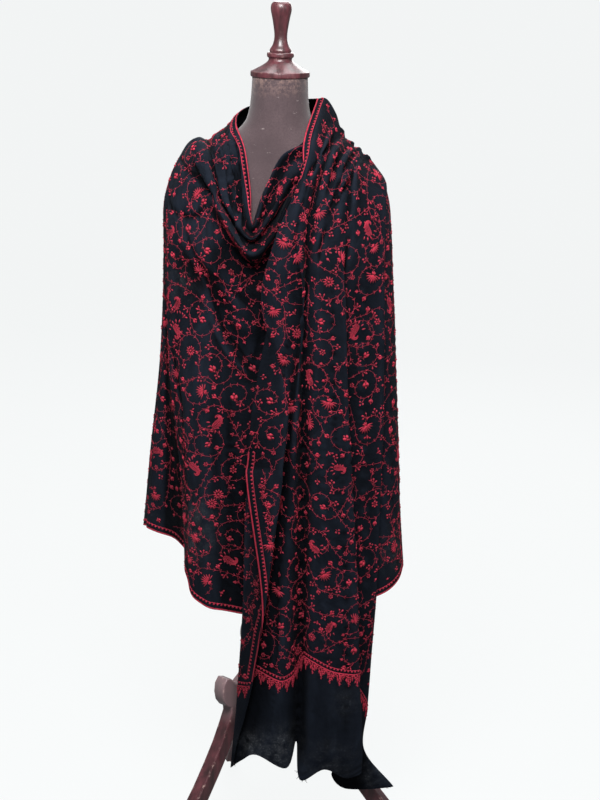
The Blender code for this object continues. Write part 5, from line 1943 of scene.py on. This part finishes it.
class SHAWL_OT_studio(bpy.types.Operator):
    """Sets the pale stage, the soft lights and the camera"""

    bl_idname = "shawl.studio"
    bl_label = "Studio"

    def execute(self, context):
        scene = context.scene
        studio = scene.shawl_studio
        scene.view_settings.view_transform = "Standard"
        bend = np.linspace(0, math.pi / 2, 16)
        wall = [(6.0 + 3.0 * math.sin(a), 3.0 * (1 - math.cos(a))) for a in bend]
        profile = [(0.001, 0.0), (2.0, 0.0), *wall, (9.0, 9.0)]
        stage_piece("floor_and_backdrop", profile, studio.paper, 0.08)
        scene.world = bpy.data.worlds.new("studio_air")
        scene.world.use_nodes = True
        air = scene.world.node_tree.nodes["Background"]
        air.inputs["Color"].default_value = AIR_COLOUR
        air.inputs["Strength"].default_value = AIR_STRENGTH * studio.brightness
        for name, (place, aim, size, power) in LIGHTS.items():
            softbox(name, place, aim, size, power * studio.brightness)
        data = bpy.data.cameras.new("camera")
        data.lens = CAMERA_LENS
        data.sensor_width = 36.0
        scene.camera = link("camera", data)
        tilt = Euler((math.radians(90 - CAMERA_DIP), 0, 0)).to_matrix()
        roll = Euler((0, 0, math.radians(CAMERA_ROLL))).to_matrix()
        scene.camera.rotation_euler = (tilt @ roll).to_euler()
        scene.camera.location = (AXIS.x + CAMERA_ASIDE, AXIS.y - CAMERA_AWAY, CAMERA_HEIGHT)
        return {"FINISHED"}


class SHAWL_PT_panel(bpy.types.Panel):
    """Lists the makers of the shawl's pieces"""

    bl_label = "Shawl"
    bl_idname = "SHAWL_PT_panel"
    bl_space_type = "VIEW_3D"
    bl_region_type = "UI"
    bl_category = "Shawl"

    def draw(self, context):
        for maker in OPERATORS:
            self.layout.operator(maker.bl_idname)


SETTINGS = {
    "shawl_cloth": ClothSettings,
    "shawl_threads": ThreadSettings,
    "shawl_form": FormSettings,
    "shawl_wood": WoodSettings,
    "shawl_studio": StudioSettings,
}
OPERATORS = (
    SHAWL_OT_studio, SHAWL_OT_form, SHAWL_OT_wood, SHAWL_OT_cloth, SHAWL_OT_embroidery,
)


def register():
    for kind in (*SETTINGS.values(), *OPERATORS, SHAWL_PT_panel):
        bpy.utils.register_class(kind)
    for name, kind in SETTINGS.items():
        setattr(bpy.types.Scene, name, bpy.props.PointerProperty(type=kind))


def unregister():
    for name in SETTINGS:
        delattr(bpy.types.Scene, name)
    for kind in reversed((*SETTINGS.values(), *OPERATORS, SHAWL_PT_panel)):
        bpy.utils.unregister_class(kind)


def main():
    register()
    bpy.ops.shawl.studio()
    bpy.ops.shawl.form()
    bpy.ops.shawl.wood()
    bpy.ops.shawl.cloth()
    bpy.ops.shawl.embroidery()


if __name__ == "__main__":
    main()
